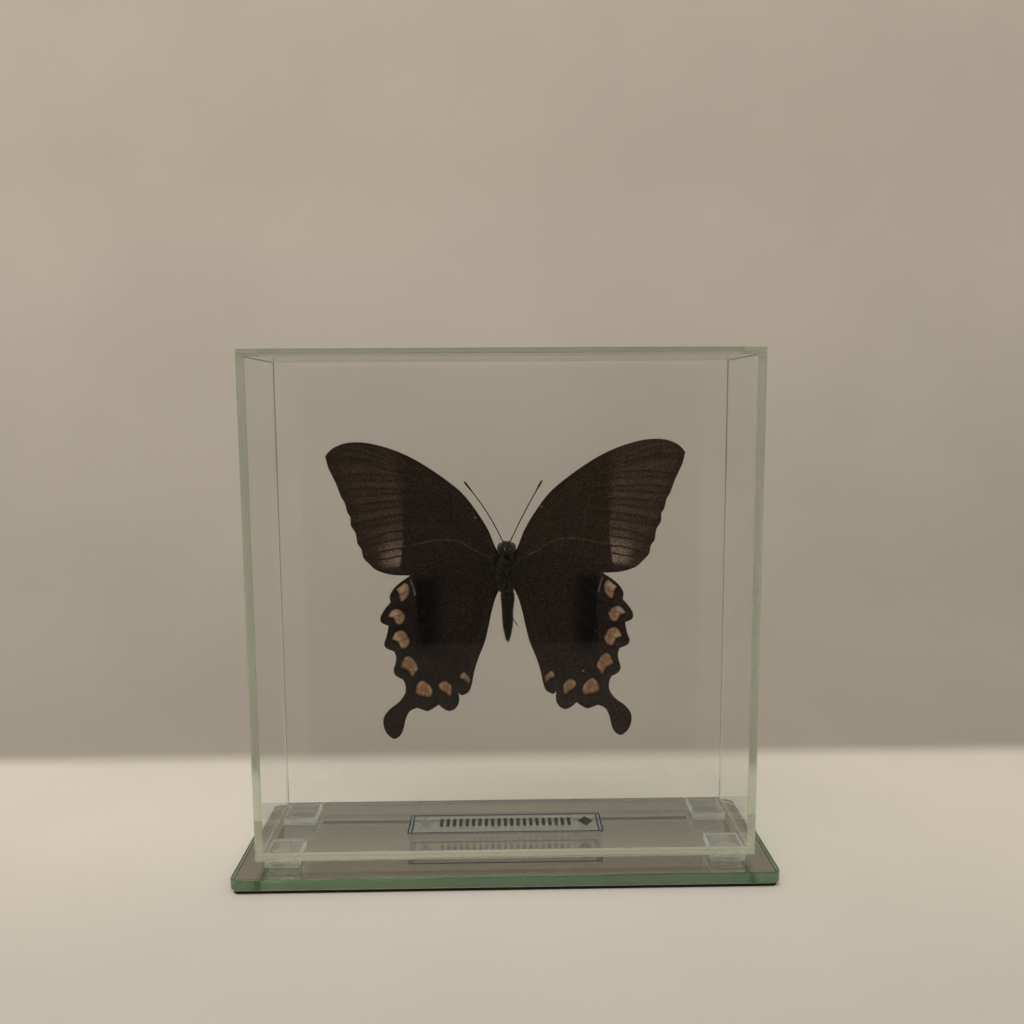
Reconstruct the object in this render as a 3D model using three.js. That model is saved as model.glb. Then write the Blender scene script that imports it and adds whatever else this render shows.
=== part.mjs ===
// A dried swallowtail butterfly in a narrow glass display case that stands on a mirror base.
//
// Units are millimetres and +Z is up. The origin is the centre of the base's underside. X runs along the
// case's width. The butterfly's underside faces -Y and its upper side, the display's front, faces +Y.

import * as THREE from 'three';

// ---------------------------------------------------------------- driving dimensions

const BASE_WIDTH = 151.8;
const BASE_DEPTH = 48.8;
const BASE_THICKNESS = 3.3;
const BASE_CORNER_RADIUS = 2.4;
const BASE_EDGE_ROUND = 0.35;
// A dark sheet glued under the mirror.
const BACKING_THICKNESS = 1.1;
const BACKING_INSET = 0.8;

const FOOT_WIDTH = 9.7;
const FOOT_DEPTH = 11.5;
const FOOT_HEIGHT = 2.2;
const FOOT_SIDE_INSET = 2.4;
const FOOT_FACE_INSET = 0.6;

const CASE_WIDTH = 140;
const CASE_DEPTH = 37;
const CASE_HEIGHT = 141.2;
const GLASS = 2;
// Clear glue between two plates.
const GLUE = 0.05;

const LABEL_WIDTH = 57.4;
const LABEL_DEPTH = 11.8;
const LABEL_THICKNESS = 0.2;
// It lies a trace nearer the side that shows the butterfly's underside.
const LABEL_Y = -0.4;

const POST_DIAMETER = 2.4;
const DISC_DIAMETER = 9;
const DISC_THICKNESS = 1.2;

// The body's long axis is vertical, and its thorax centre is this high above the case's underside.
const BODY_X = 0.9;
const THORAX_HEIGHT = 78;
// Half of the thorax's side-to-side width and of its depth from underside to back.
const THORAX_HALF_WIDTH = 2.75;
const THORAX_HALF_DEPTH = 3.1;
// The body sits a little below the wings, towards the underside.
const BODY_Y = -0.9;
// Clearance between neighbouring pieces of the specimen.
const GAP = 0.3;

const WING_THICKNESS = 0.4;
const FOREWING_Y = 0.5;
const HINDWING_Y = -0.4;
const WING_ROOT_X = THORAX_HALF_WIDTH + GAP;

const ANTENNA_RADIUS = 0.16;
const ANTENNA_CLUB_RADIUS = 0.34;
const ANTENNA_CLUB_LENGTH = 3.2;
const ANTENNA_ROOT = [0.85, 9.4];
const ANTENNA_TIP_LEFT = [12.0, 26.6];
const ANTENNA_TIP_RIGHT = [10.3, 26.8];

const LEG_RADIUS = 0.25;

// ---------------------------------------------------------------- derived levels

const FOOT_LEVEL = BACKING_THICKNESS + BASE_THICKNESS;
const CASE_LEVEL = FOOT_LEVEL + FOOT_HEIGHT;
const FLOOR_LEVEL = CASE_LEVEL + GLASS;
const INNER_DEPTH = CASE_DEPTH - 2 * GLASS;
const SIDE_HEIGHT = CASE_HEIGHT - 2 * GLASS;

// ---------------------------------------------------------------- materials

function finish(color, roughness, metalness = 0, opacity = 1) {
  return new THREE.MeshStandardMaterial({ color, roughness, metalness, opacity, transparent: opacity < 1 });
}

const clearGlass = finish(0xdce6dc, 0.03, 0, 0.25);
const mirror = finish(0x8f8a7c, 0.04, 0.9);
const backing = finish(0x1c1d1c, 0.8);
const film = finish(0xd8dadc, 0.25, 0, 0.5);
const acrylic = finish(0xe8ecee, 0.05, 0, 0.4);
const forewingScales = finish(0x463a2c, 0.75);
const hindwingScales = finish(0x2c2723, 0.8);
const bodyFur = finish(0x34322a, 0.9);
const chitin = finish(0x3a3226, 0.5);

// ---------------------------------------------------------------- shared helpers

function named(name, geometry, material) {
  const mesh = new THREE.Mesh(geometry, material);
  mesh.name = name;
  return mesh;
}

function plate(name, width, depth, height, x, y, bottom, material) {
  const mesh = named(name, new THREE.BoxGeometry(width, depth, height), material);
  mesh.position.set(x, y, bottom + height / 2);
  return mesh;
}

// ---------------------------------------------------------------- base and feet

function roundedRectangle(width, depth, radius) {
  const x = width / 2 - radius;
  const y = depth / 2 - radius;
  const outline = new THREE.Shape();
  outline.absarc(x, y, radius, 0, Math.PI / 2, false);
  outline.absarc(-x, y, radius, Math.PI / 2, Math.PI, false);
  outline.absarc(-x, -y, radius, Math.PI, 1.5 * Math.PI, false);
  outline.absarc(x, -y, radius, 1.5 * Math.PI, 2 * Math.PI, false);
  outline.closePath();
  return outline;
}

// A silvered plate with round plan corners and softly rounded upper and lower edges, on its backing sheet.
function base() {
  const group = new THREE.Group();
  const edge = BASE_EDGE_ROUND;
  const glassOutline = roundedRectangle(BASE_WIDTH - 2 * edge, BASE_DEPTH - 2 * edge, BASE_CORNER_RADIUS - edge);
  const glass = new THREE.ExtrudeGeometry(glassOutline, {
    depth: BASE_THICKNESS - 2 * edge,
    bevelThickness: edge,
    bevelSize: edge,
    bevelSegments: 3,
    curveSegments: 6,
  });
  glass.translate(0, 0, BACKING_THICKNESS + edge);
  const sheetOutline = roundedRectangle(
    BASE_WIDTH - 2 * BACKING_INSET, BASE_DEPTH - 2 * BACKING_INSET, BASE_CORNER_RADIUS - BACKING_INSET);
  const sheet = new THREE.ExtrudeGeometry(sheetOutline, {
    depth: BACKING_THICKNESS - GLUE, bevelEnabled: false, curveSegments: 6,
  });
  group.add(named('base_mirror', glass, mirror), named('base_backing', sheet, backing));
  return group;
}

function feet() {
  const group = new THREE.Group();
  const x = CASE_WIDTH / 2 - FOOT_SIDE_INSET - FOOT_WIDTH / 2;
  const y = CASE_DEPTH / 2 - FOOT_FACE_INSET - FOOT_DEPTH / 2;
  for (const [sideName, sideX] of [['left', -1], ['right', 1]]) {
    for (const [endName, endY] of [['near', -1], ['far', 1]]) {
      group.add(plate(`foot_${endName}_${sideName}`, FOOT_WIDTH, FOOT_DEPTH, FOOT_HEIGHT - 2 * GLUE,
        sideX * x, endY * y, FOOT_LEVEL + GLUE, clearGlass));
    }
  }
  return group;
}

// ---------------------------------------------------------------- glass case

function glassCase() {
  const group = new THREE.Group();
  const betweenFaces = INNER_DEPTH - 2 * GLUE;
  const sideX = (CASE_WIDTH - GLASS) / 2;
  const faceY = (CASE_DEPTH - GLASS) / 2;
  const topLevel = CASE_LEVEL + CASE_HEIGHT - GLASS;
  group.add(plate('bottom_pane', CASE_WIDTH, betweenFaces, GLASS, 0, 0, CASE_LEVEL, clearGlass));
  group.add(plate('top_pane', CASE_WIDTH, betweenFaces, GLASS, 0, 0, topLevel, clearGlass));
  for (const [name, side] of [['left_pane', -1], ['right_pane', 1]]) {
    group.add(plate(name, GLASS, betweenFaces, SIDE_HEIGHT - 2 * GLUE,
      side * sideX, 0, FLOOR_LEVEL + GLUE, clearGlass));
  }
  for (const [name, side] of [['back_pane', -1], ['front_pane', 1]]) {
    group.add(plate(name, CASE_WIDTH, GLASS, CASE_HEIGHT, 0, side * faceY, CASE_LEVEL, clearGlass));
  }
  return group;
}

function label() {
  return plate('label_film', LABEL_WIDTH, LABEL_DEPTH, LABEL_THICKNESS, 0, LABEL_Y, FLOOR_LEVEL + GLUE, film);
}

// ---------------------------------------------------------------- butterfly
//
// Outline points are [distance out from the body's axis, height above the thorax centre]. One outline
// serves both sides.

const FOREWING_COSTA = [
  [WING_ROOT_X, 7.0], [5.3, 12.5], [8.7, 18.1], [12.3, 22.8], [16.0, 26.1], [21.8, 30.3], [27.3, 33.6],
  [33.0, 36.1], [38.8, 37.7], [43.0, 38.1], [46.5, 37.7], [49.6, 36.3], [51.5, 34.3],
];
const FOREWING_MARGIN = [
  [51.5, 34.3], [50.8, 31.1], [49.5, 28.3], [48.2, 25.2], [47.2, 22.4], [46.2, 20.6], [45.6, 18.0],
  [44.8, 16.6], [44.7, 14.3], [43.4, 11.9], [42.9, 8.9], [41.9, 7.3], [41.3, 4.8], [39.6, 2.8],
  [37.2, 0.9], [33.2, -0.3], [28.0, -0.6], [18.0, -0.9], [9.0, -0.2], [WING_ROOT_X, 1.4],
];

const HINDWING_COSTA = [
  [WING_ROOT_X, 2.2], [4.9, 3.4], [10.6, 4.8], [16.4, 4.7], [20.8, 3.5], [25.1, 1.4], [28.1, -0.6],
  [30.6, -2.3], [32.7, -4.2], [33.9, -6.4], [33.7, -8.3],
];
// Each lobe of the scalloped edge runs from one notch to the next.
const HINDWING_LOBES = [
  [[33.7, -8.3], [35.4, -10.3], [36.7, -12.6], [36.5, -14.3], [34.4, -15.3]],
  [[34.4, -15.3], [35.1, -18.5], [35.8, -20.6], [35.2, -22.0], [32.9, -23.0]],
  [[32.9, -23.0], [32.4, -24.6], [32.6, -26.4], [33.2, -28.7], [32.5, -30.3], [30.5, -31.4]],
];
const HINDWING_TAIL = [
  [30.5, -31.4], [29.8, -33.2], [30.0, -35.6], [31.7, -38.1], [34.5, -40.3], [36.3, -42.8], [36.5, -45.4],
  [35.6, -48.0], [33.5, -49.7], [31.6, -48.6], [30.6, -46.3], [29.9, -43.4], [28.7, -41.1], [26.6, -40.0],
];
const HINDWING_END_LOBES = [
  [[26.6, -40.0], [25.0, -40.6], [23.5, -41.1], [22.0, -40.4], [20.2, -39.1]],
  [[20.2, -39.1], [18.8, -40.4], [17.2, -41.2], [15.3, -40.4], [14.2, -38.3], [14.3, -35.5]],
  [[14.3, -35.5], [13.6, -36.4], [12.4, -36.1], [11.1, -35.1], [10.3, -32.6]],
];
const HINDWING_INNER_MARGIN = [
  [10.3, -32.6], [9.6, -29.1], [8.3, -25.1], [6.5, -20.5], [5.4, -16.0], [4.5, -11.8], [3.4, -7.8],
  [WING_ROOT_X, -4.6],
];

// Points along smooth curves, one curve for each run, with a corner where two runs meet.
function smoothOutline(runs, stepsPerSpan) {
  const points = [];
  for (const run of runs) {
    const curve = new THREE.SplineCurve(run.map(([x, z]) => new THREE.Vector2(x, z)));
    const steps = stepsPerSpan * (run.length - 1);
    points.push(...curve.getPoints(steps).slice(0, steps));
  }
  const lastRun = runs[runs.length - 1];
  points.push(new THREE.Vector2(...lastRun[lastRun.length - 1]));
  return points;
}

// A thin blade in the XZ plane, centred on the given Y.
function wing(name, runs, side, y, material) {
  const points = smoothOutline(runs, 2);
  const outline = new THREE.Shape(points.map((p) => new THREE.Vector2(side * p.x, p.y)));
  const geometry = new THREE.ExtrudeGeometry(outline, { depth: WING_THICKNESS, bevelEnabled: false });
  geometry.rotateX(Math.PI / 2);
  geometry.translate(0, y + WING_THICKNESS / 2, 0);
  return named(name, geometry, material);
}

function wings() {
  const group = new THREE.Group();
  const forewingRuns = [FOREWING_COSTA, FOREWING_MARGIN];
  const hindwingRuns = [
    HINDWING_COSTA, ...HINDWING_LOBES, HINDWING_TAIL, ...HINDWING_END_LOBES, HINDWING_INNER_MARGIN,
  ];
  for (const [sideName, side] of [['left', -1], ['right', 1]]) {
    group.add(wing(`forewing_${sideName}`, forewingRuns, side, FOREWING_Y, forewingScales));
    group.add(wing(`hindwing_${sideName}`, hindwingRuns, side, HINDWING_Y, hindwingScales));
  }
  return group;
}

// A body segment turned about the vertical axis. Its profile is [radius, height], and its depth from
// underside to back is the width times the given ratio.
function segment(name, profile, depthRatio, material) {
  const curve = new THREE.SplineCurve(profile.map(([r, z]) => new THREE.Vector2(r, z)));
  const points = curve.getPoints(3 * (profile.length - 1));
  points.forEach((p) => { p.x = Math.max(p.x, 0); });
  points[0].x = 0;
  points[points.length - 1].x = 0;
  const geometry = new THREE.LatheGeometry(points, 20);
  geometry.rotateX(Math.PI / 2);
  geometry.scale(1, depthRatio, 1);
  geometry.translate(0, BODY_Y, 0);
  return named(name, geometry, material);
}

function body() {
  const group = new THREE.Group();
  const w = THORAX_HALF_WIDTH;
  const thorax = [[0, -5.2], [1.5, -4.9], [2.4, -3.6], [w, -1.2], [w, 1.2], [2.3, 3.2], [1.3, 4.1], [0, 4.4]];
  const head = [[0, 4.7], [1.6, 5.0], [2.5, 6.1], [2.6, 7.2], [2.0, 8.2], [1.0, 8.7], [0, 8.8]];
  const abdomen = [
    [0, -20.5], [0.6, -19.4], [1.25, -16.5], [1.5, -13.5], [1.6, -10.8], [1.95, -7.2], [1.4, -5.9], [0, -5.5],
  ];
  group.add(segment('thorax', thorax, THORAX_HALF_DEPTH / THORAX_HALF_WIDTH, bodyFur));
  group.add(segment('head', head, 0.85, bodyFur));
  group.add(segment('abdomen', abdomen, 1.05, bodyFur));
  return group;
}

// A straight feeler that thickens into a club at its tip.
function antenna(name, side, tip) {
  const root = new THREE.Vector3(side * ANTENNA_ROOT[0], BODY_Y, ANTENNA_ROOT[1]);
  const end = new THREE.Vector3(side * tip[0], BODY_Y, tip[1]);
  const length = root.distanceTo(end);
  const clubStart = length - ANTENNA_CLUB_LENGTH;
  const profile = [
    [0, 0], [ANTENNA_RADIUS, 0], [ANTENNA_RADIUS, clubStart], [ANTENNA_CLUB_RADIUS, length - 1.2],
    [0.8 * ANTENNA_CLUB_RADIUS, length - 0.3], [0, length],
  ];
  const mesh = named(name, new THREE.LatheGeometry(profile.map((p) => new THREE.Vector2(...p)), 8), chitin);
  mesh.position.copy(root);
  mesh.quaternion.setFromUnitVectors(new THREE.Vector3(0, 1, 0), end.sub(root).normalize());
  return mesh;
}

// Each leg is folded against the underside: [x, y, z] of hip, knee, ankle and claw, as on the right side.
// Only the right hind leg's claw stands away from the abdomen.
const THORAX_FRONT_Y = BODY_Y - THORAX_HALF_DEPTH;
const LEG_LAYER_Y = THORAX_FRONT_Y - LEG_RADIUS - GAP;
const LEGS = {
  fore: [[0.5, LEG_LAYER_Y, 3.4], [1.9, LEG_LAYER_Y, 4.1], [0.8, LEG_LAYER_Y, 6.0], [0.4, LEG_LAYER_Y, 7.4]],
  mid: [[0.5, LEG_LAYER_Y, 0.9], [1.8, LEG_LAYER_Y, 2.2], [2.0, LEG_LAYER_Y, -1.5], [1.8, LEG_LAYER_Y, -4.8]],
  hind: [[0.5, LEG_LAYER_Y, -1.4], [1.0, LEG_LAYER_Y, -4.6], [1.3, -3.3, -9.5]],
};
const HIND_CLAWS = { left: [1.0, -3.1, -13.6], right: [3.0, -2.3, -15.2] };

function leg(name, joints, side) {
  const points = joints.map(([x, y, z]) => new THREE.Vector3(side * x, y, z));
  const path = new THREE.CatmullRomCurve3(points, false, 'centripetal');
  const section = new THREE.Shape();
  section.absarc(0, 0, LEG_RADIUS, 0, 2 * Math.PI, false);
  const geometry = new THREE.ExtrudeGeometry(section, { steps: 12, curveSegments: 6, extrudePath: path });
  return named(name, geometry, chitin);
}

function limbs() {
  const group = new THREE.Group();
  group.add(antenna('antenna_left', -1, ANTENNA_TIP_LEFT));
  group.add(antenna('antenna_right', 1, ANTENNA_TIP_RIGHT));
  for (const [sideName, side] of [['left', -1], ['right', 1]]) {
    group.add(leg(`leg_fore_${sideName}`, LEGS.fore, side));
    group.add(leg(`leg_mid_${sideName}`, LEGS.mid, side));
    group.add(leg(`leg_hind_${sideName}`, [...LEGS.hind, HIND_CLAWS[sideName]], side));
  }
  return group;
}

function butterfly() {
  const group = new THREE.Group();
  group.add(wings(), body(), limbs());
  group.position.set(BODY_X, 0, CASE_LEVEL + THORAX_HEIGHT);
  return group;
}

// ---------------------------------------------------------------- stand-off

// A clear post from the front pane to the middle of the thorax's back, glued to the pane by a disc.
function standOff() {
  const group = new THREE.Group();
  const paneY = CASE_DEPTH / 2 - GLASS - GLUE;
  const discY = paneY - DISC_THICKNESS;
  const thoraxBackY = BODY_Y + THORAX_HALF_DEPTH + GAP;
  const postLength = discY - GLUE - thoraxBackY;
  const disc = new THREE.CylinderGeometry(DISC_DIAMETER / 2, DISC_DIAMETER / 2, DISC_THICKNESS, 32);
  const post = new THREE.CylinderGeometry(POST_DIAMETER / 2, POST_DIAMETER / 2, postLength, 20);
  disc.translate(0, discY + DISC_THICKNESS / 2, 0);
  post.translate(0, thoraxBackY + postLength / 2, 0);
  group.add(named('support_disc', disc, acrylic), named('support_post', post, acrylic));
  group.position.set(BODY_X, 0, CASE_LEVEL + THORAX_HEIGHT);
  return group;
}

// ---------------------------------------------------------------- the whole display

const display = new THREE.Group();
display.add(base(), feet(), glassCase(), label(), butterfly(), standOff());

export default display;
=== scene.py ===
"""Looks of a dried swallowtail butterfly in a narrow glass display case on a mirror base.

Everything is in metres in the frame's own axes: +Z up, the case's width along X, the butterfly's underside
towards -Y. Sizes below are in millimetres and are turned into metres by MM.
"""
import math

import bmesh
import bpy
import numpy as np
from mathutils import Matrix, Vector
from mathutils.geometry import delaunay_2d_cdt


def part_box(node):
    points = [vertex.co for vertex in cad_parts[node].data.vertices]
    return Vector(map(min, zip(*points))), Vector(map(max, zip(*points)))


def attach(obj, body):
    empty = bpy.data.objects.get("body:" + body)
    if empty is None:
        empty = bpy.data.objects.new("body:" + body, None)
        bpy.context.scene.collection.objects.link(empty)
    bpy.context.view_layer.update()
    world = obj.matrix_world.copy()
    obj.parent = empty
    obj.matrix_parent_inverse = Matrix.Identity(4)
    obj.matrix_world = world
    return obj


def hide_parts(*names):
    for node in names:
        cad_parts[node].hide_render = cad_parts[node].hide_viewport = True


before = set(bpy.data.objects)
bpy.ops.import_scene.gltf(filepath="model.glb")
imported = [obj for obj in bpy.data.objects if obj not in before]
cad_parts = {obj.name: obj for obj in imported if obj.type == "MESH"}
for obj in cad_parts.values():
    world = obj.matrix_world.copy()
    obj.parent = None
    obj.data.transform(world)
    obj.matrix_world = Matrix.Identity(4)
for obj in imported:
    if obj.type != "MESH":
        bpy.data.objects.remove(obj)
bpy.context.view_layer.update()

MM = 0.001

# ---------------------------------------------------------------- camera

# Where the photograph was taken from, in millimetres from the centre of the base's underside, and how the
# camera was turned, in radians.
CAMERA_PLACE = (-2.1, -263.3, 132.5)
CAMERA_DOWN = 0.1148
CAMERA_TURN = 0.0177
CAMERA_ROLL = -0.0062
CAMERA_LENS = 32.32
SENSOR_WIDTH = 36.0


def make_camera():
    forward = Vector((
        math.sin(CAMERA_TURN) * math.cos(CAMERA_DOWN),
        math.cos(CAMERA_TURN) * math.cos(CAMERA_DOWN),
        -math.sin(CAMERA_DOWN),
    ))
    right = forward.cross(Vector((0, 0, 1))).normalized()
    up = right.cross(forward)
    right, up = (
        math.cos(CAMERA_ROLL) * right + math.sin(CAMERA_ROLL) * up,
        math.cos(CAMERA_ROLL) * up - math.sin(CAMERA_ROLL) * right,
    )
    data = bpy.data.cameras.new("camera")
    data.lens = CAMERA_LENS
    data.sensor_width = SENSOR_WIDTH
    data.clip_start = 0.01
    data.clip_end = 50
    camera = add_object("camera", data)
    turn = Matrix((right, up, -forward)).transposed().to_4x4()
    camera.matrix_world = Matrix.Translation(Vector(CAMERA_PLACE) * MM) @ turn
    bpy.context.scene.camera = camera


# ---------------------------------------------------------------- material helpers

NOISE_ROUGHNESS = 0.55


class Nodes:
    """Short ways to add and join the nodes of a new material or world."""

    def __init__(self, name, owners="materials", output="OutputMaterial"):
        self.owner = getattr(bpy.data, owners).new(name)
        self.owner.use_nodes = True
        self.tree = self.owner.node_tree
        self.tree.nodes.clear()
        self.output = self.add(output)

    def add(self, kind, **settings):
        node = self.tree.nodes.new("ShaderNode" + kind)
        for name, value in settings.items():
            setattr(node, name, value)
        return node

    def put(self, socket, value):
        if isinstance(value, bpy.types.NodeSocket):
            self.tree.links.new(value, socket)
        else:
            socket.default_value = value

    def math(self, operation, a, b=0.0):
        node = self.add("Math", operation=operation)
        self.put(node.inputs[0], a)
        self.put(node.inputs[1], b)
        return node.outputs[0]

    def times(self, a, b):
        return self.math("MULTIPLY", a, b)

    def most(self, a, b):
        return self.math("MAXIMUM", a, b)

    def gap(self, a, b):
        """How far apart two values are."""
        return self.math("ABSOLUTE", self.math("SUBTRACT", a, b))

    def ramp(self, value, low, high, to_low=0.0, to_high=1.0):
        """Smooth step of value from low to high."""
        node = self.add("MapRange", interpolation_type="SMOOTHSTEP")
        for socket, x in zip(node.inputs, (value, low, high, to_low, to_high)):
            self.put(socket, x)
        return node.outputs[0]

    def mix(self, share, a, b):
        node = self.add("Mix", data_type="RGBA")
        self.put(node.inputs[0], share)
        self.put(node.inputs[6], (*a, 1.0) if isinstance(a, tuple) else a)
        self.put(node.inputs[7], (*b, 1.0) if isinstance(b, tuple) else b)
        return node.outputs[2]

    def shade(self, colour, factor):
        node = self.add("VectorMath", operation="SCALE")
        self.put(node.inputs[0], colour)
        self.put(node.inputs["Scale"], factor)
        return node.outputs[0]

    def place(self):
        return self.add("TexCoord").outputs["Object"]

    def stretched(self, scale):
        node = self.add("Mapping")
        self.put(node.inputs["Vector"], self.place())
        node.inputs["Scale"].default_value = scale
        return node.outputs[0]

    def noise(self, scale, detail=3.0):
        """Noise of an even scale, or of one scale for each axis."""
        even = isinstance(scale, float)
        node = self.add("TexNoise")
        self.put(node.inputs["Vector"], self.place() if even else self.stretched(scale))
        node.inputs["Scale"].default_value = scale if even else 1.0
        node.inputs["Detail"].default_value = detail
        node.inputs["Roughness"].default_value = NOISE_ROUGHNESS
        return node.outputs[0]

    def wander(self, value, scale, amount, detail=3.0):
        """The value with noise of plus or minus about half the amount added."""
        swing = self.times(self.math("SUBTRACT", self.noise(scale, detail), 0.5), amount)
        return self.math("ADD", value, swing)

    def attribute(self, name):
        return self.add("Attribute", attribute_name=name).outputs["Fac"]

    def near(self, mark, low, high, share):
        """The share up to a low distance from a wing's mark, and nothing beyond a high one."""
        return self.ramp(self.attribute(mark), low, high, share, 0.0)

    def bump(self, height, distance, strength):
        node = self.add("Bump")
        node.inputs["Strength"].default_value = strength
        node.inputs["Distance"].default_value = distance
        self.put(node.inputs["Height"], height)
        return node.outputs[0]

    def principled(self, **values):
        node = self.add("BsdfPrincipled")
        for name, value in values.items():
            socket = node.inputs[name.replace("_", " ")]
            self.put(socket, (*value, 1.0) if isinstance(value, tuple) and len(value) == 3 else value)
        return node

    def finish(self, shader):
        self.tree.links.new(shader.outputs[0], self.output.inputs["Surface"])
        return self.owner

    def surface(self, **values):
        return self.finish(self.principled(**values))


# ---------------------------------------------------------------- glass materials

GLASS_IOR = 1.52
# What light keeps along its way through glass, most of it green: the edges of clear float glass are green.
CASE_ABSORPTION = (0.56, 0.86, 0.60)
BASE_ABSORPTION = (0.45, 0.80, 0.50)
PANE_SHADOW = (0.93, 0.955, 0.935)
# How thickly each glass absorbs light, what it leaves, and the tint and roughness of its ground edges.
CASE_GLASS = (9.0, CASE_ABSORPTION, (0.90, 0.88, 0.84), 0.10)
FOOT_GLASS = (14.0, CASE_ABSORPTION, (1.0, 1.0, 1.0), 0.35)
BASE_GLASS = (30.0, BASE_ABSORPTION, (0.40, 0.385, 0.375), 0.22)
SILVER = (0.49, 0.43, 0.405)
SILVER_FLECK = (0.40, 0.35, 0.33)


def glass_material(name, density, absorption, ground_tint, ground_roughness):
    """Clear glass that lets lamps through, greener the further light runs inside it. Its ground edges are a
    little duller and darker than its faces."""
    n = Nodes(name)
    marks = n.ramp(n.noise((40.0, 40.0, 900.0)), 0.2, 0.8, 0.7, 1.0)
    rough = n.times(n.attribute("ground"), n.times(marks, ground_roughness))
    tint = n.mix(n.attribute("ground"), (1.0, 1.0, 1.0), ground_tint)
    glass = n.principled(Base_Color=tint, Roughness=rough, IOR=GLASS_IOR, Transmission_Weight=1.0)
    lamp = n.add("BsdfTransparent")
    lamp.inputs["Color"].default_value = (*PANE_SHADOW, 1.0)
    either = n.add("MixShader")
    n.put(either.inputs[0], n.add("LightPath").outputs["Is Shadow Ray"])
    n.put(either.inputs[1], glass.outputs[0])
    n.put(either.inputs[2], lamp.outputs[0])
    depth = n.add("VolumeAbsorption")
    depth.inputs["Color"].default_value = (*absorption, 1.0)
    depth.inputs["Density"].default_value = density
    n.tree.links.new(depth.outputs[0], n.output.inputs["Volume"])
    return n.finish(either)


def silver_material():
    """Silvering on the underside of the base, with a few faint flecks."""
    n = Nodes("silver")
    fleck = n.ramp(n.noise(420.0, 2.0), 0.68, 0.78)
    colour = n.mix(fleck, SILVER, SILVER_FLECK)
    rough = n.ramp(n.noise(40.0), 0.3, 0.8, 0.01, 0.05)
    return n.surface(Base_Color=colour, Metallic=1.0, Roughness=rough)


# ---------------------------------------------------------------- mesh helpers

CORNER_STEPS = 10
# A plate's face counts as one of its two large ones when the cosine of its lean is at least this.
FACE_ON = 0.95
NO_LENGTH = 1e-6


def add_object(name, data):
    thing = bpy.data.objects.new(name, data)
    bpy.context.scene.collection.objects.link(thing)
    return thing


def smooth_object(name, vertices, faces, materials):
    mesh = bpy.data.meshes.new(name)
    mesh.from_pydata([tuple(v) for v in vertices], [], faces)
    for material in materials:
        mesh.materials.append(material)
    mesh.update()
    mesh.shade_smooth()
    return add_object(name, mesh)


def set_values(mesh, name, domain, values):
    mesh.attributes.new(name, "FLOAT", domain).data.foreach_set("value", values)


def plate(name, low, high, bevel, material, corner=0.0, segments=2):
    """A plate with rounded edges and, if corner is given, round corners in plan. Its narrow faces and its
    rounded edges are marked as ground."""

    def upright(edge):
        return abs(edge.verts[0].co.z - edge.verts[1].co.z) > NO_LENGTH

    def round_off(edges, radius, steps):
        bmesh.ops.bevel(form, geom=edges, offset=radius, segments=steps, profile=0.5, affect="EDGES")

    form = bmesh.new()
    bmesh.ops.create_cube(form, size=1.0)
    size = Vector(high) - Vector(low)
    middle = (Vector(high) + Vector(low)) / 2
    for v in form.verts:
        v.co = Vector(a * b for a, b in zip(v.co, size)) + middle
    if corner:
        round_off([e for e in form.edges if upright(e)], corner, CORNER_STEPS)
    if bevel:
        round_off([e for e in form.edges if not corner or not upright(e)], bevel, segments)
    form.normal_update()
    thin = min(range(3), key=lambda axis: size[axis])
    ground = [float(abs(face.normal[thin]) < FACE_ON) for face in form.faces]
    mesh = bpy.data.meshes.new(name)
    form.to_mesh(mesh)
    form.free()
    mesh.materials.append(material)
    set_values(mesh, "ground", "FACE", ground)
    return add_object(name, mesh)


def lathe(profile, sides, place):
    """Points and faces of a closed form. profile is [radius, level] for each ring, where a ring without a
    radius is a tip, and place(radius, level, angle) gives a point."""
    points, rings = [], []
    for radius, level in profile:
        count = sides if radius > NO_LENGTH else 1
        rings.append(range(len(points), len(points) + count))
        points += [place(radius, level, 2 * math.pi * i / count) for i in range(count)]
    return points, ring_faces(rings)


def ring_faces(rings):
    """Faces that join each ring of points to the next. A ring of one point is a tip."""
    faces = []
    for a, b in zip(rings, rings[1:]):
        count = max(len(a), len(b))
        for i in range(count):
            j = (i + 1) % count
            if len(a) == 1:
                faces.append((a[0], b[j], b[i]))
            elif len(b) == 1:
                faces.append((a[i], a[j], b[0]))
            else:
                faces.append((a[i], a[j], b[j], b[i]))
    return faces


def stands_for(piece, node):
    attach(piece, "root")
    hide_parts(node)


# ---------------------------------------------------------------- case, feet and base

PANE_BEVEL = 0.06 * MM
FOOT_BEVEL = 0.25 * MM
SILVER_THICKNESS = 0.12 * MM
SILVER_AIR = 0.01 * MM
BASE_BEVEL = 0.35 * MM
BASE_CORNER = 2.4 * MM
BACKING_CORNER = 1.6 * MM
BACKING_BEVEL = 0.08 * MM
BACKING_DARK = (0.006, 0.0065, 0.006)
BACKING_FIBRE = (0.02, 0.021, 0.019)
BACKING_SCUFF = (0.05, 0.05, 0.045)


def glass_plate(node, bevel, glass):
    stands_for(plate("glass_" + node, *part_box(node), bevel, glass), node)


def make_case(glass):
    for side in ("bottom", "top", "left", "right", "back", "front"):
        glass_plate(side + "_pane", PANE_BEVEL, glass)


def make_feet(glass):
    for end in ("near", "far"):
        for side in ("left", "right"):
            glass_plate(f"foot_{end}_{side}", FOOT_BEVEL, glass)


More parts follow.
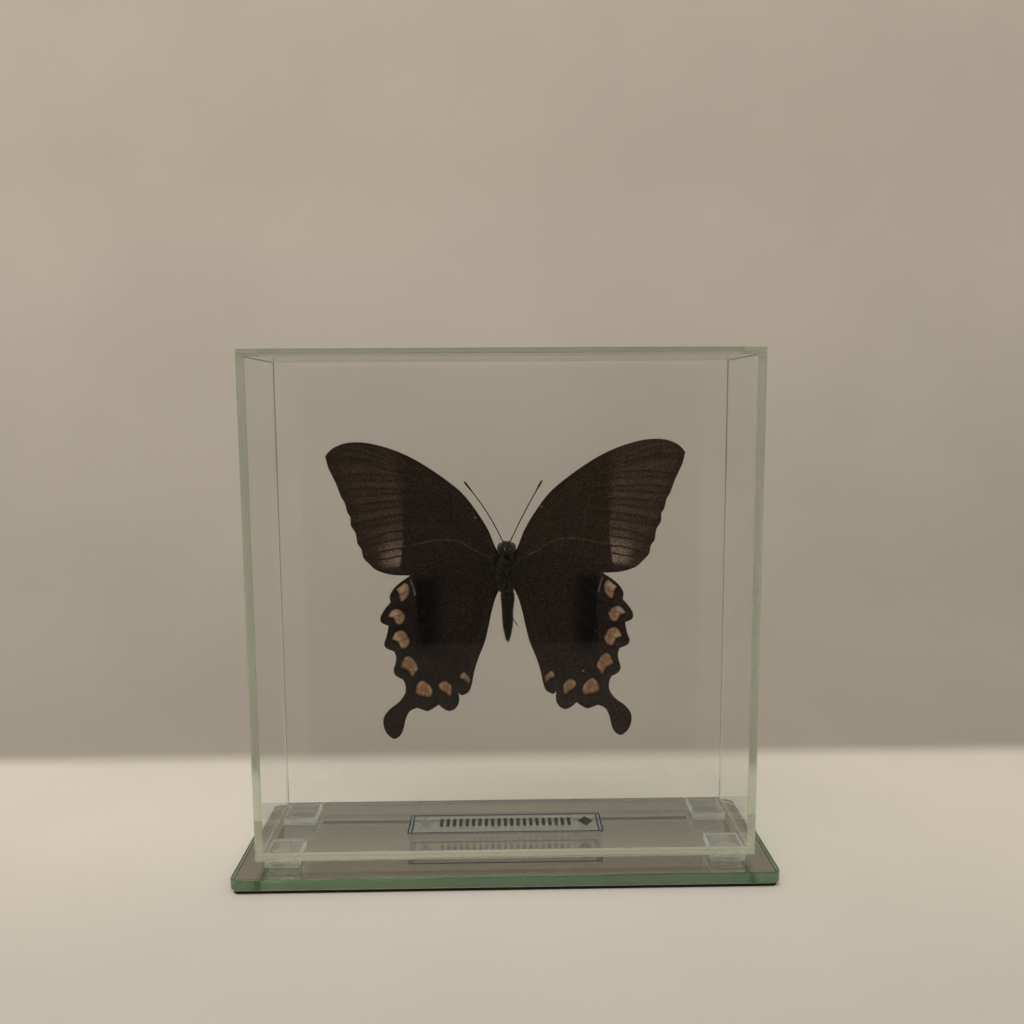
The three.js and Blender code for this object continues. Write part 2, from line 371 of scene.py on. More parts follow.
def backing_material():
    """Near-black sheet under the base, which makes the dark line below the base's edge: fine random fibre and a
    few scuffs.
    """
    n = Nodes("backing_sheet")
    fibre = n.noise((900.0, 3000.0, 3000.0))
    scuff = n.ramp(n.noise(60.0, 4.0), 0.62, 0.72)
    colour = n.mix(n.times(fibre, 0.6), BACKING_DARK, BACKING_FIBRE)
    colour = n.mix(n.times(scuff, 0.3), colour, BACKING_SCUFF)
    return n.surface(Base_Color=colour, Roughness=n.ramp(fibre, 0.2, 0.8, 0.65, 0.9),
                     Specular_IOR_Level=0.25, Normal=n.bump(fibre, 0.00005, 0.5))


def make_base(glass):
    low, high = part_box("base_mirror")
    lift = Vector((0, 0, SILVER_THICKNESS + SILVER_AIR))
    mirror = plate("base_glass", low + lift, high, BASE_BEVEL, glass, BASE_CORNER, 3)
    inset = Vector((BASE_BEVEL, BASE_BEVEL, 0))
    silver_high = Vector((high.x, high.y, low.z + SILVER_THICKNESS)) - inset
    silver_corner = BASE_CORNER - BASE_BEVEL
    silvering = plate("base_silvering", low + inset, silver_high, 0, silver_material(), silver_corner)
    stands_for(mirror, "base_mirror")
    stands_for(silvering, "base_mirror")
    sheet = plate("backing_sheet", *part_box("base_backing"), BACKING_BEVEL, backing_material(), BACKING_CORNER)
    stands_for(sheet, "base_backing")


# ---------------------------------------------------------------- label

LABEL_BEVEL = 0.03 * MM
LINE = 0.48 * MM
LINE_INSET = 0.22 * MM
SECOND_LINE_INSET = 1.25 * MM
INK = (0.008, 0.015, 0.055)
DARK_INK = (0.012, 0.010, 0.009)
FILM = (0.55, 0.62, 0.60)
# A row of plain dark strokes stands where the print was, with a plain diamond beyond each of its ends.
STROKE_PITCH = 1.9 * MM
STROKE_SHARE = 0.5
ROW_HALF_LENGTH = 10.5 * STROKE_PITCH
ROW_HALF_HEIGHT = 2.3 * MM
ROW_SHIFT = 0.8 * MM
DIAMOND_PLACE = 24.0 * MM
DIAMOND_HALF_WIDTH = 2.3 * MM
DIAMOND_HALF_HEIGHT = 3.2 * MM
FAINT_DIAMOND = 0.6


def label_material(low, high):
    """Clear film with a dark blue frame, doubled at its short ends, round plain dark marks."""
    n = Nodes("label_film")
    middle = (low + high) / 2
    half = (high - low) / 2
    split = n.add("SeparateXYZ")
    n.put(split.inputs[0], n.place())
    along = n.math("SUBTRACT", split.outputs[0], middle.x)
    x = n.math("ABSOLUTE", along)
    across = n.math("SUBTRACT", split.outputs[1], middle.y)
    y = n.math("ABSOLUTE", across)
    off_row = n.gap(across, ROW_SHIFT)

    def stripe(value, centre):
        return n.ramp(n.gap(value, centre), LINE * 0.35, LINE * 0.65, 1.0, 0.0)

    def within(value, limit):
        return n.math("LESS_THAN", value, limit)

    short_edge, long_edge = half.x - LINE_INSET, half.y - LINE_INSET
    inside = n.times(within(x, short_edge + LINE / 2), within(y, long_edge + LINE / 2))
    lines = n.most(stripe(x, short_edge), stripe(y, long_edge))
    lines = n.times(n.most(lines, stripe(x, half.x - SECOND_LINE_INSET)), inside)
    half_pitch = STROKE_PITCH / 2
    marks = within(n.math("PINGPONG", along, half_pitch), half_pitch * STROKE_SHARE)
    row = n.times(within(x, ROW_HALF_LENGTH), within(off_row, ROW_HALF_HEIGHT))
    from_diamond = n.gap(x, DIAMOND_PLACE)
    diamond = n.math("ADD", n.math("DIVIDE", from_diamond, DIAMOND_HALF_WIDTH),
                     n.math("DIVIDE", off_row, DIAMOND_HALF_HEIGHT))
    diamond = n.ramp(diamond, 0.9, 1.1, n.ramp(along, -MM, MM, FAINT_DIAMOND, 1.0), 0.0)
    marks = n.most(n.times(marks, row), diamond)
    speck = n.ramp(n.noise(700.0, 3.0), 0.35, 0.8, 0.04, 0.12)
    cover = n.most(speck, n.times(n.most(lines, marks), 0.96))
    colour = n.mix(marks, n.mix(lines, FILM, INK), DARK_INK)
    return n.surface(Base_Color=colour, Roughness=0.35, Alpha=cover)


def make_label():
    low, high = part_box("label_film")
    film = plate("label_sheet", low, high, LABEL_BEVEL, label_material(low, high), segments=1)
    stands_for(film, "label_film")


# ---------------------------------------------------------------- stand-off

ACRYLIC = (0.97, 0.98, 0.98)
ACRYLIC_IOR = 1.49
POST_TIP_DEPTH = 0.5 * MM
STAND_OFF_EDGE = 0.2 * MM


def acrylic_material():
    n = Nodes("clear_acrylic")
    return n.surface(Base_Color=ACRYLIC, Roughness=0.04, IOR=ACRYLIC_IOR, Transmission_Weight=1.0)


def rod(node, centre, material, sides, sunk=0.0):
    """A round rod along Y with bevelled ends, as wide as its node. Its near end is sunk that much further."""
    low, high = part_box(node)
    radius = (high.x - low.x) / 2
    front, back, edge = low.y - sunk, high.y, STAND_OFF_EDGE
    profile = [(0, front), (radius - edge, front), (radius, front + edge), (radius, back - edge),
               (radius - edge, back), (0, back)]

    def place(radius, y, angle):
        return centre.x + radius * math.cos(angle), y, centre.z - radius * math.sin(angle)

    thing = smooth_object(node.replace("support", "acrylic"), *lathe(profile, sides, place), [material])
    stands_for(thing, node)


def make_stand_off():
    material = acrylic_material()
    low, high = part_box("support_disc")
    centre = (low + high) / 2
    rod("support_disc", centre, material, 40)
    rod("support_post", centre, material, 28, POST_TIP_DEPTH)


# ---------------------------------------------------------------- butterfly: outlines
#
# Wing points are [distance out from the body's axis, height above the thorax centre] in millimetres, and
# serve both sides. Wings reach into the thorax, where they are rooted.

# The body's upright axis and the height of the thorax centre.
BODY_X = 0.9
BODY_Y = -0.9
THORAX_LEVEL = 84.6
WING_ROOT = 1.6

FOREWING_RUNS = [
    [(WING_ROOT, 5.6), (3.05, 7.0), (5.3, 12.5), (8.7, 18.1), (12.3, 22.8), (16.0, 26.1), (21.8, 30.3),
     (27.3, 33.6), (33.0, 36.1), (38.8, 37.7), (43.0, 38.1), (46.5, 37.7), (49.6, 36.3), (51.5, 34.3)],
    [(51.5, 34.3), (50.8, 31.1), (49.5, 28.3), (48.2, 25.2), (47.2, 22.4), (46.2, 20.6), (45.6, 18.0),
     (44.8, 16.6), (44.7, 14.3), (43.4, 11.9), (42.9, 8.9), (41.9, 7.3), (41.3, 4.8), (39.6, 2.8),
     (37.2, 0.9), (33.2, -0.3), (28.0, -0.6), (18.0, -0.9), (9.0, -0.2), (WING_ROOT, 1.6)],
]
HINDWING_RUNS = [
    [(WING_ROOT, 2.0), (4.9, 3.4), (10.6, 4.8), (16.4, 4.7), (20.8, 3.5), (25.1, 1.4), (28.1, -0.6),
     (30.6, -2.3), (32.7, -4.2), (33.9, -6.4), (33.7, -8.3)],
    [(33.7, -8.3), (35.4, -10.3), (36.7, -12.6), (36.5, -14.3), (34.4, -15.3)],
    [(34.4, -15.3), (35.1, -18.5), (35.8, -20.6), (35.2, -22.0), (32.9, -23.0)],
    [(32.9, -23.0), (32.4, -24.6), (32.6, -26.4), (33.2, -28.7), (32.5, -30.3), (30.5, -31.4)],
    [(30.5, -31.4), (29.8, -33.2), (30.0, -35.6), (31.7, -38.1), (34.5, -40.3), (36.3, -42.8),
     (36.5, -45.4), (35.6, -48.0), (33.5, -49.7), (31.6, -48.6), (30.6, -46.3), (29.9, -43.4),
     (28.7, -41.1), (26.6, -40.0)],
    [(26.6, -40.0), (25.0, -40.6), (23.5, -41.1), (22.0, -40.4), (20.2, -39.1)],
    [(20.2, -39.1), (18.8, -40.4), (17.2, -41.2), (15.3, -40.4), (14.2, -38.3), (14.3, -35.5)],
    [(14.3, -35.5), (13.6, -36.4), (12.4, -36.1), (11.1, -35.1), (10.3, -32.6)],
    [(10.3, -32.6), (9.6, -29.1), (8.3, -25.1), (6.5, -20.5), (5.4, -16.0), (4.5, -11.8), (3.4, -7.8),
     (2.3, -5.2), (WING_ROOT, -3.4)],
]

# Veins run to the outer margin, with one fold in the membrane between each pair.
FOREWING_VEINS = [
    [(3.4, 3.6), (8.9, 6.3), (13.5, 8.9), (17.7, 12.2), (21.4, 15.7), (23.4, 18.9)],
    [(3.4, 5.1), (5.9, 9.5), (9.9, 15.0), (13.9, 19.1), (19.0, 22.9), (23.6, 25.0)],
    [(23.6, 25.0), (23.9, 22.7), (23.4, 18.9)],
    [(3.4, 5.9), (6.5, 11.8), (11.6, 19.4), (19.0, 26.4), (26.0, 31.6)],
    [(14.5, 19.7), (21.8, 26.7), (28.9, 31.9), (32.5, 35.1)],
    [(18.7, 22.9), (26.1, 29.3), (33.1, 33.7), (41.0, 37.4)],
    [(23.6, 25.0), (28.9, 29.9), (34.6, 33.1), (41.6, 35.7), (48.4, 36.9)],
    [(28.9, 29.6), (30.6, 30.2), (34.6, 32.0), (38.8, 33.1), (44.5, 34.0), (51.3, 34.1)],
    [(23.6, 25.0), (27.5, 27.9), (30.4, 28.6), (36.1, 29.0), (41.8, 29.1), (49.8, 28.3)],
    [(23.6, 24.4), (27.0, 24.6), (30.5, 24.8), (36.2, 24.9), (41.9, 25.0), (48.2, 24.3)],
    [(23.9, 22.1), (27.1, 21.7), (29.9, 21.4), (33.4, 21.2), (39.1, 20.8), (46.3, 20.0)],
    [(23.4, 18.9), (26.6, 17.9), (30.0, 17.4), (33.5, 16.8), (37.8, 16.0), (44.7, 15.0)],
    [(19.2, 13.4), (24.9, 13.6), (30.1, 12.7), (33.6, 12.2), (37.1, 11.3), (43.1, 9.5)],
    [(13.7, 9.2), (19.2, 9.7), (26.2, 8.5), (30.2, 7.5), (33.1, 7.2), (36.6, 6.4), (41.5, 4.8)],
    [(3.1, 2.1), (10.6, 1.9), (19.3, 2.0), (26.5, 2.2), (30.6, 1.9), (35.8, 1.2), (38.6, 1.5)],
]
FOREWING_FOLDS = [
    [(29.8, 28.5), (30.9, 29.1), (35.2, 30.4), (38.9, 31.6), (44.5, 32.5), (50.3, 31.8)],
    [(26.8, 26.2), (29.8, 26.8), (36.1, 27.0), (41.8, 27.1), (48.7, 26.6)],
    [(25.6, 23.4), (29.3, 23.2), (33.3, 23.2), (39.1, 22.9), (46.5, 22.0)],
    [(25.6, 20.0), (29.4, 19.3), (33.4, 19.1), (37.8, 18.5), (44.9, 17.4)],
    [(24.6, 16.2), (29.5, 15.3), (33.5, 14.7), (37.9, 13.8), (43.9, 12.4)],
    [(21.0, 11.4), (29.6, 10.3), (33.6, 9.6), (37.1, 8.9), (42.3, 7.2)],
    [(16.0, 6.0), (29.7, 5.3), (33.2, 4.6), (35.8, 4.2), (40.7, 3.3)],
]
HINDWING_VEINS = [
    [(2.8, 0.6), (10.6, 2.8), (17.9, 3.1), (23.7, 0.8), (27.2, -1.5), (31.0, -3.2), (33.7, -6.1)],
    [(2.8, 0.1), (8.3, 0.1), (15.0, 0.2), (19.1, -1.9)],
    [(19.1, -1.9), (23.8, -5.1), (28.8, -8.6), (33.7, -8.8)],
    [(19.1, -1.9), (21.8, -8.0), (27.7, -13.9), (34.5, -15.3)],
    [(18.0, -8.7), (22.5, -14.6), (27.8, -19.9), (32.6, -23.4)],
    [(16.1, -15.8), (19.7, -21.5), (24.2, -27.4), (28.9, -34.3), (31.6, -41.0), (33.4, -47.6)],
    [(13.5, -17.0), (16.2, -24.5), (19.0, -32.0), (20.2, -39.0)],
    [(10.2, -11.7), (11.8, -20.1), (13.3, -27.5), (14.2, -35.4)],
    [(2.8, -0.5), (6.4, -5.2), (9.6, -10.5), (13.2, -16.5), (16.1, -15.8)],
    [(19.1, -1.9), (18.6, -5.1), (18.0, -8.7), (16.1, -15.8)],
    [(2.6, -1.7), (4.9, -8.2), (7.3, -15.6), (9.5, -24.6), (11.7, -35.1)],
]
HINDWING_FOLDS = [
    [(22.0, -1.6), (28.0, -4.8), (33.8, -7.4)],
    [(21.4, -4.6), (27.0, -10.6), (33.0, -12.6), (36.6, -13.4)],
    [(20.6, -10.0), (26.4, -17.4), (31.4, -20.0), (35.6, -21.0)],
    [(18.6, -14.8), (22.6, -20.4), (27.2, -26.6), (30.4, -29.8)],
    [(15.8, -18.4), (19.4, -25.6), (23.6, -32.6), (24.0, -40.0)],
    [(13.2, -19.4), (15.4, -27.0), (17.6, -34.6), (17.4, -40.6)],
    [(9.0, -15.4), (10.8, -22.8), (12.2, -30.4), (12.6, -35.6)],
]

# The seven orange spots along the hindwing's edge, from the leading edge to the body.
HINDWING_SPOTS = [
    [(31.9, -4.5), (30.7, -3.5), (29.3, -2.6), (28.4, -3.5), (28.2, -5.3), (29.1, -7.1), (30.4, -8.1),
     (31.0, -7.4), (31.2, -5.6)],
    [(34.5, -12.5), (33.5, -11.0), (32.0, -10.3), (30.6, -10.9), (29.6, -12.3), (29.8, -13.6),
     (30.7, -14.8), (31.7, -14.9), (32.4, -14.3), (32.8, -13.1), (33.8, -12.7)],
    [(33.5, -19.4), (32.5, -17.4), (31.0, -16.6), (29.7, -17.2), (28.8, -18.7), (28.3, -20.0),
     (28.7, -21.1), (29.8, -22.1), (30.9, -21.8), (31.6, -20.3), (32.5, -19.7)],
    [(31.2, -27.5), (30.3, -25.4), (29.1, -24.4), (27.8, -25.0), (26.7, -26.5), (26.1, -28.2),
     (26.8, -29.2), (27.5, -30.6), (28.2, -30.2), (28.9, -28.9), (30.1, -28.1)],
    [(27.0, -34.9), (26.3, -33.0), (25.1, -31.8), (23.7, -32.3), (22.5, -33.6), (22.0, -35.2),
     (22.4, -36.7), (23.7, -36.7), (25.5, -36.3), (26.7, -35.7)],
    [(20.2, -33.8), (19.6, -32.5), (18.1, -32.0), (16.8, -33.1), (16.2, -34.8), (16.4, -36.1),
     (17.0, -36.7), (18.1, -35.7), (19.3, -34.9)],
    [(14.0, -31.3), (13.4, -29.8), (12.6, -29.5), (11.8, -30.4), (10.9, -31.2), (11.2, -33.0),
     (11.9, -32.4), (13.1, -31.6)],
]
PALE_STREAK = [(27.9, -1.7), (27.3, -3.2), (26.8, -5.0), (26.6, -6.2)]
FAINT_STREAK = [(26.6, -6.2), (26.3, -11.0), (25.6, -19.0), (24.6, -25.0), (22.3, -30.0)]
# The pale vein through the middle of the forewing.
PALE_VEIN = [(3.4, 3.6), (8.9, 6.3), (13.7, 9.2), (19.2, 9.7), (26.2, 8.5), (29.4, 7.8)]
# Marks that only one wing has: faint lilac dashes on the right hindwing, a painted shade line standing for
# a crease on the left forewing, and three pale specks.
LILAC_DASHES = [[(20.5, 0.2), (21.5, -0.1)], [(22.5, -0.6), (23.4, -0.9)], [(24.2, -1.3), (25.1, -1.8)]]
CREASE_SHADE_LINE = [(15.8, 14.8), (16.3, 23.7)]
SPECKS = {"left": [(9.0, 16.0)], "right": [(10.1, 19.0), (22.1, -29.7)]}
NO_MARK = [[(99.0, 99.0), (99.0, 98.0)]]

FAR_OFF = 1e9
# How many points a curve gets for each span between two given ones.
OUTLINE_SPANS = 6
SPOT_SPANS = 3


def spline(points, per_span):
    """Points along a smooth curve through the given ones."""
    p = np.array(points, float)
    last = len(p) - 1
    out = []
    for i in range(last):
        before, a, b, after = p[max(i - 1, 0)], p[i], p[i + 1], p[min(i + 2, last)]
        slope_a, slope_b = (b - before) / 2, (after - a) / 2
        for step in range(per_span):
            t = step / per_span
            out.append(
                (2 * t**3 - 3 * t**2 + 1) * a + (t**3 - 2 * t**2 + t) * slope_a
                + (3 * t**2 - 2 * t**3) * b + (t**3 - t**2) * slope_b
            )
    out.append(p[-1])
    return np.array(out)


def even_points(line, choose_count):
    """The same line with evenly spaced points, as many as choose_count gives for its length."""
    lengths = np.r_[0, np.cumsum(np.linalg.norm(np.diff(line, axis=0), axis=1))]
    at = np.linspace(0, lengths[-1], choose_count(lengths[-1]))
    return np.stack([np.interp(at, lengths, values) for values in line.T], axis=1)


def closed_outline(runs, step):
    """The outline's points, about one step apart, with the corners between its runs kept."""
    def steps(length):
        return max(int(round(length / step)), 2) + 1

    lines = [even_points(spline(run, OUTLINE_SPANS), steps)[:-1] for run in runs]
    return np.concatenate(lines + [np.array([runs[-1][-1]])])


def side_distance(points, a, b):
    """Each point's distance to the straight line from a to b."""
    along = b - a
    t = np.clip((points - a) @ along / (along @ along), 0, 1)
    return np.linalg.norm(points - a - t[:, None] * along, axis=1)


def line_distance(points, lines):
    """Each point's distance to the nearest of the lines."""
    best = np.full(len(points), FAR_OFF)
    for line in lines:
        curve = spline(line, OUTLINE_SPANS)
        for a, b in zip(curve, curve[1:]):
            best = np.minimum(best, side_distance(points, a, b))
    return best


def loop_distance(points, loop):
    """Signed distance to a closed loop of straight sides, below 0 inside it."""
    best = np.full(len(points), FAR_OFF)
    inside = np.zeros(len(points), bool)
    x, y = points.T
    for a, b in zip(loop, np.roll(loop, -1, axis=0)):
        best = np.minimum(best, side_distance(points, a, b))
        if a[1] != b[1]:
            crosses = (a[1] > y) != (b[1] > y)
            inside ^= crosses & (x < a[0] + (y - a[1]) / (b[1] - a[1]) * (b[0] - a[0]))
    return np.where(inside, -best, best)


def smoothstep(value, low, high):
    t = np.clip((value - low) / (high - low), 0, 1)
    return t * t * (3 - 2 * t)


def ridge_profile(distance, width):
    return np.exp(-((distance / width) ** 2))


# ---------------------------------------------------------------- butterfly: wing sheets

WING_STEP = 0.3
# The share of a step that inner points keep clear of the outline.
RIM_CLEARANCE = 0.55
MEMBRANE = 0.16
# How much of a vein's ridge stands out on the upper side.
UPPER_RIDGE = 0.4
# The specimen is mounted a trace askew, and its hindwings are a trace shorter than their outline.
WING_TILT = 0.005
HIND_SHARE = 0.99


def flat_net(loop, step):
    """An even net of triangles inside the loop. Its first points are the loop's own."""
    low, high = loop.min(0), loop.max(0)
    rows = np.arange(low[1], high[1], step * math.sqrt(0.75))
    inner = np.array([
        (x, y) for i, y in enumerate(rows) for x in np.arange(low[0] + (i % 2) * step / 2, high[0], step)
    ])
    inner = inner[loop_distance(inner, loop) < -RIM_CLEARANCE * step]
    points = np.concatenate([loop, inner])
    found = delaunay_2d_cdt([Vector(p) for p in points], [], [list(range(len(loop)))], 1, 1e-7)
    return np.array([tuple(p) for p in found[0]]), [tuple(f) for f in found[2]]


def wing_sheet(name, side, runs, plane_y, shape, masks, materials):
    """A thin two-sided wing. shape gives each point's lift towards the upper side and its extra half
    thickness, and masks gives the values that the materials read."""
    net, triangles = flat_net(closed_outline(runs, WING_STEP), WING_STEP)
    lift, ridge = shape(net)
    sign = -1 if side == "left" else 1
    x = BODY_X + sign * net[:, 0]
    z = THORAX_LEVEL + net[:, 1] * np.where(net[:, 1] < 0, HIND_SHARE, 1.0) + WING_TILT * sign * net[:, 0]
    under = np.stack([x, plane_y + lift - MEMBRANE / 2 - ridge, z], axis=1)
    upper = np.stack([x, plane_y + lift + MEMBRANE / 2 + ridge * UPPER_RIDGE, z], axis=1)
    count = len(net)
    if sign < 0:
        triangles = [t[::-1] for t in triangles]
    upper_faces = [tuple(i + count for i in t[::-1]) for t in triangles]
    edges = dict.fromkeys(edge for t in triangles for edge in zip(t, t[1:] + t[:1]))
    rim = [(b, a, a + count, b + count) for a, b in edges if (b, a) not in edges]
    faces = list(triangles) + upper_faces + rim
    wing = smooth_object(name, np.concatenate([under, upper]) * MM, faces, materials)
    slots = np.zeros(len(faces), np.int32)
    slots[len(triangles):len(triangles) + len(upper_faces)] = 1
    wing.data.polygons.foreach_set("material_index", slots)
    speck = np.min([np.linalg.norm(net - place, axis=1) for place in SPECKS[side]], axis=0)
    # Painted light: marks the right wings, which are painted paler for the brighter light on them.
    lit_right = np.full(count, float(side == "right"))
    for mask, values in (masks(net, side) | {"speck": speck, "lit_right": lit_right}).items():
        set_values(wing.data, mask, "POINT", np.tile(values, 2).astype(np.float32))
    return wing


# Where a vein and its fold are further apart than this, the pleat between them flattens out.
PLEAT_REACH = (2.5, 5.0)
PLEAT_ROUNDING = 0.2


def pleats(net, veins, folds, depth):
    """Ridges along the veins and furrows along the folds between them."""
    to_vein, to_fold = line_distance(net, veins), line_distance(net, folds)
    near = 1 - smoothstep(to_vein + to_fold, *PLEAT_REACH)
    slope = (to_fold - to_vein) / (to_fold + to_vein + PLEAT_ROUNDING)
    return -depth * slope * near, to_vein


def forewing_shape(net):
    u, v = net.T
    pleat, to_vein = pleats(net, FOREWING_VEINS, FOREWING_FOLDS, 0.16)
    pleat = pleat * smoothstep(u, 22, 34)
    curl = 0.7 * smoothstep(v, 8, 38) ** 2 - 0.5 * smoothstep(u, 34, 52) ** 2
    ridge = 0.10 * ridge_profile(to_vein, 0.22)
    leading = 0.12 * ridge_profile(line_distance(net, [FOREWING_RUNS[0]]), 0.35)
    return pleat + curl, ridge + leading


def hindwing_shape(net):
    v = net[:, 1]
    pleat, to_vein = pleats(net, HINDWING_VEINS, HINDWING_FOLDS, 0.14)
    pleat = pleat * smoothstep(-v, 4, 14)
    curl = -0.8 * smoothstep(-v, 8, 40) ** 2 + 0.9 * smoothstep(-v, 38, 50)
    return pleat + curl, 0.09 * ridge_profile(to_vein, 0.2)


# Where the forewing's paler outer part starts, as heights and distances out.
OUTER_START = [(1.0, 31.0), (5.0, 30.5), (10.0, 29.8), (20.0, 30.2), (30.0, 31.2)]
# How pale it is towards its inner corner: heights and shares.
PALE_BY_HEIGHT = [(1.2, 0.0), (3.0, 1.0), (6.1, 0.9), (8.4, 0.45), (11.1, 0.2), (14.0, 0.06)]


def forewing_masks(net, side):
    u, v = net.T
    margin = line_distance(net, [FOREWING_RUNS[1]])
    # The paler outer part starts at an edge that is sharp near the inner corner and soft near the tip.
    softness = 0.25 + 2.5 * smoothstep(v, 14, 28)
    start = np.interp(v, *zip(*OUTER_START))
    outer = smoothstep(u, start - softness, start + softness) * (0.4 + 0.6 * smoothstep(margin, 0.3, 5.0))
    outer = outer * (1 - 0.5 * smoothstep(v, 26, 37)) * smoothstep(v, -1.5, 2.0)
    by_height = np.interp(v, *zip(*PALE_BY_HEIGHT))
    band_half = 3.6 - 0.055 * v
    band = 1 - smoothstep(np.abs(u - 21.5 - 0.42 * v), band_half * 0.55, band_half * 1.15)
    return {
        "vein": line_distance(net, FOREWING_VEINS),
        "fold": line_distance(net, FOREWING_FOLDS),
        "median": line_distance(net, [PALE_VEIN]),
        "crease": line_distance(net, [CREASE_SHADE_LINE] if side == "left" else NO_MARK),
        "outer": outer,
        "pale": outer * (1 - smoothstep(u, 33.0, 38.0)) * by_height,
        "band": band * smoothstep(33.5 - v, 0, 6),
    }


# The faint streak and the dashes count as this much further off than they are.
FAINTER = 0.19
CELL_CENTRE = np.array([14.0, -16.0])
# The upper side's band on the hindwing: its centre and its half width, by depth below the root.
HIND_BAND = [(0, 21.0), (10, 20.0), (20, 17.5), (30, 16.0)]
HIND_BAND_HALF = [(-5, 4.6), (0, 5.0), (10, 6.4), (20, 6.0), (28, 2.0)]
TAIL = [(30.6, -38.4), (32.6, -42.0), (33.4, -46.4)]
NO_SPOT = 9.0


def hindwing_masks(net, side):
    u, v = net.T
    margin = line_distance(net, HINDWING_RUNS[1:-1])
    spot = np.full(len(net), NO_SPOT)
    rise = np.zeros(len(net))
    for outline in HINDWING_SPOTS:
        loop = spline(outline + outline[:1], SPOT_SPANS)[:-1]
        distance = loop_distance(net, loop)
        middle = loop.mean(0)
        out = (middle - CELL_CENTRE) / np.linalg.norm(middle - CELL_CENTRE)
        reach = np.abs((loop - middle) @ out).max()
        here = distance < spot
        spot = np.where(here, distance, spot)
        rise = np.where(here, ((net - middle) @ out / reach) * 0.5 + 0.5, rise)
    faint = [FAINT_STREAK] + (LILAC_DASHES if side == "right" else [])
    black = smoothstep(u, 17.0, 22.5) * (1 - smoothstep(u, 25.8, 27.2))
    black = black * smoothstep(-v, -1, 3) * (1 - smoothstep(-v, 20, 27))
    pale = smoothstep(-v, 27, 42) * 0.85 + 0.6 * (1 - smoothstep(margin, 1.0, 4.0))
    band_centre = np.interp(-v, *zip(*HIND_BAND))
    band_half = np.interp(-v, *zip(*HIND_BAND_HALF))
    band = 1 - smoothstep(np.abs(u - band_centre), band_half * 0.7, band_half * 1.2)
    tail = line_distance(net, [TAIL])
    return {
        "vein": line_distance(net, HINDWING_VEINS),
        "fold": line_distance(net, HINDWING_FOLDS),
        "streak": np.minimum(line_distance(net, [PALE_STREAK]), line_distance(net, faint) + FAINTER),
        "spot": spot,
        "rise": rise,
        "lower": smoothstep(-v, 20, 27),
        "black": black,
        "pale": np.clip(pale, 0, 1),
        "inner": 1 - smoothstep(u - np.interp(-v, [5, 33], [3.0, 10.4]), 0.4, 3.4),
        "band": np.maximum(band * (1 - smoothstep(-v, 19, 30)), 1 - smoothstep(tail, 0.9, 2.2)),
    }


# ---------------------------------------------------------------- butterfly: wing materials

SCALE_ROWS = 5200.0
# Painted light: how much paler the right wings are painted, for the brighter light on them.
RIGHT_WING_LIGHT = 1.22
UNDER_BROWN = (0.0185, 0.0113, 0.0070)
UNDER_GOLD = (0.066, 0.044, 0.027)
UNDER_VEIN = (0.070, 0.052, 0.038)
UNDER_OUTER = (0.043, 0.029, 0.019)
UNDER_LINE = (0.030, 0.0190, 0.0110)
UNDER_PALE = (0.195, 0.137, 0.104)
SPECK_COLOUR = (0.35, 0.33, 0.30)
HIND_BROWN = (0.0125, 0.0074, 0.0057)
HIND_INNER = (0.0205, 0.0125, 0.0080)
HIND_EDGE = (0.0235, 0.0168, 0.0122)
HIND_BLACK = (0.0028, 0.0017, 0.0016)
HIND_VEIN = (0.045, 0.034, 0.024)
SPOT_ORANGE = (0.250, 0.125, 0.056)
SPOT_CREAM = (0.42, 0.31, 0.205)
SPOT_LILAC = (0.130, 0.112, 0.108)
SPOT_HALO = (0.006, 0.0048, 0.004)
SPOT_FOLD = (0.16, 0.075, 0.035)
SPOT_SCORCH = (0.085, 0.038, 0.018)
UPPER_BLACK = (0.006, 0.006, 0.007)
UPPER_DUST = (0.035, 0.13, 0.055)
UPPER_VEIN = (0.004, 0.004, 0.004)
METAL_GREEN = (0.03, 0.42, 0.35)
METAL_BLUE = (0.02, 0.26, 0.46)
METAL_GAP = (0.004, 0.05, 0.06)
SCALE_RELIEF = 0.00003


def scale_rows(n):
    """Fine overlapping rows of scales."""
    return n.noise((SCALE_ROWS, SCALE_ROWS, SCALE_ROWS * 0.45), 2.0)


def wing_finish(n, colour, rows, roughness, **values):
    return n.surface(Base_Color=colour, Roughness=roughness,
                     Normal=n.bump(rows, SCALE_RELIEF, 0.5), **values)


def painted_light_right(n, colour):
    """The colour, paler on the right wings as the photograph shows them: painted light, for the brighter light
    that falls on the right wings.
    """
    return n.shade(colour, n.ramp(n.attribute("lit_right"), 0.0, 1.0, 1.0, RIGHT_WING_LIGHT))


def grain(n, colour, amount):
    """The colour made lighter and darker by up to the amount, as scales lie this way or that."""
    return n.shade(colour, n.ramp(n.noise(1900.0, 3.0), 0.35, 0.65, 1 - amount, 1 + amount))


def under_finish(n, colour, rows):
    """Adds a speck of fluff to an underside, and finishes it."""
    colour = n.mix(n.near("speck", 0.12, 0.30, 1.0), colour, SPECK_COLOUR)
    return wing_finish(n, colour, rows, n.ramp(rows, 0.2, 0.8, 0.62, 0.8), Specular_IOR_Level=0.07)


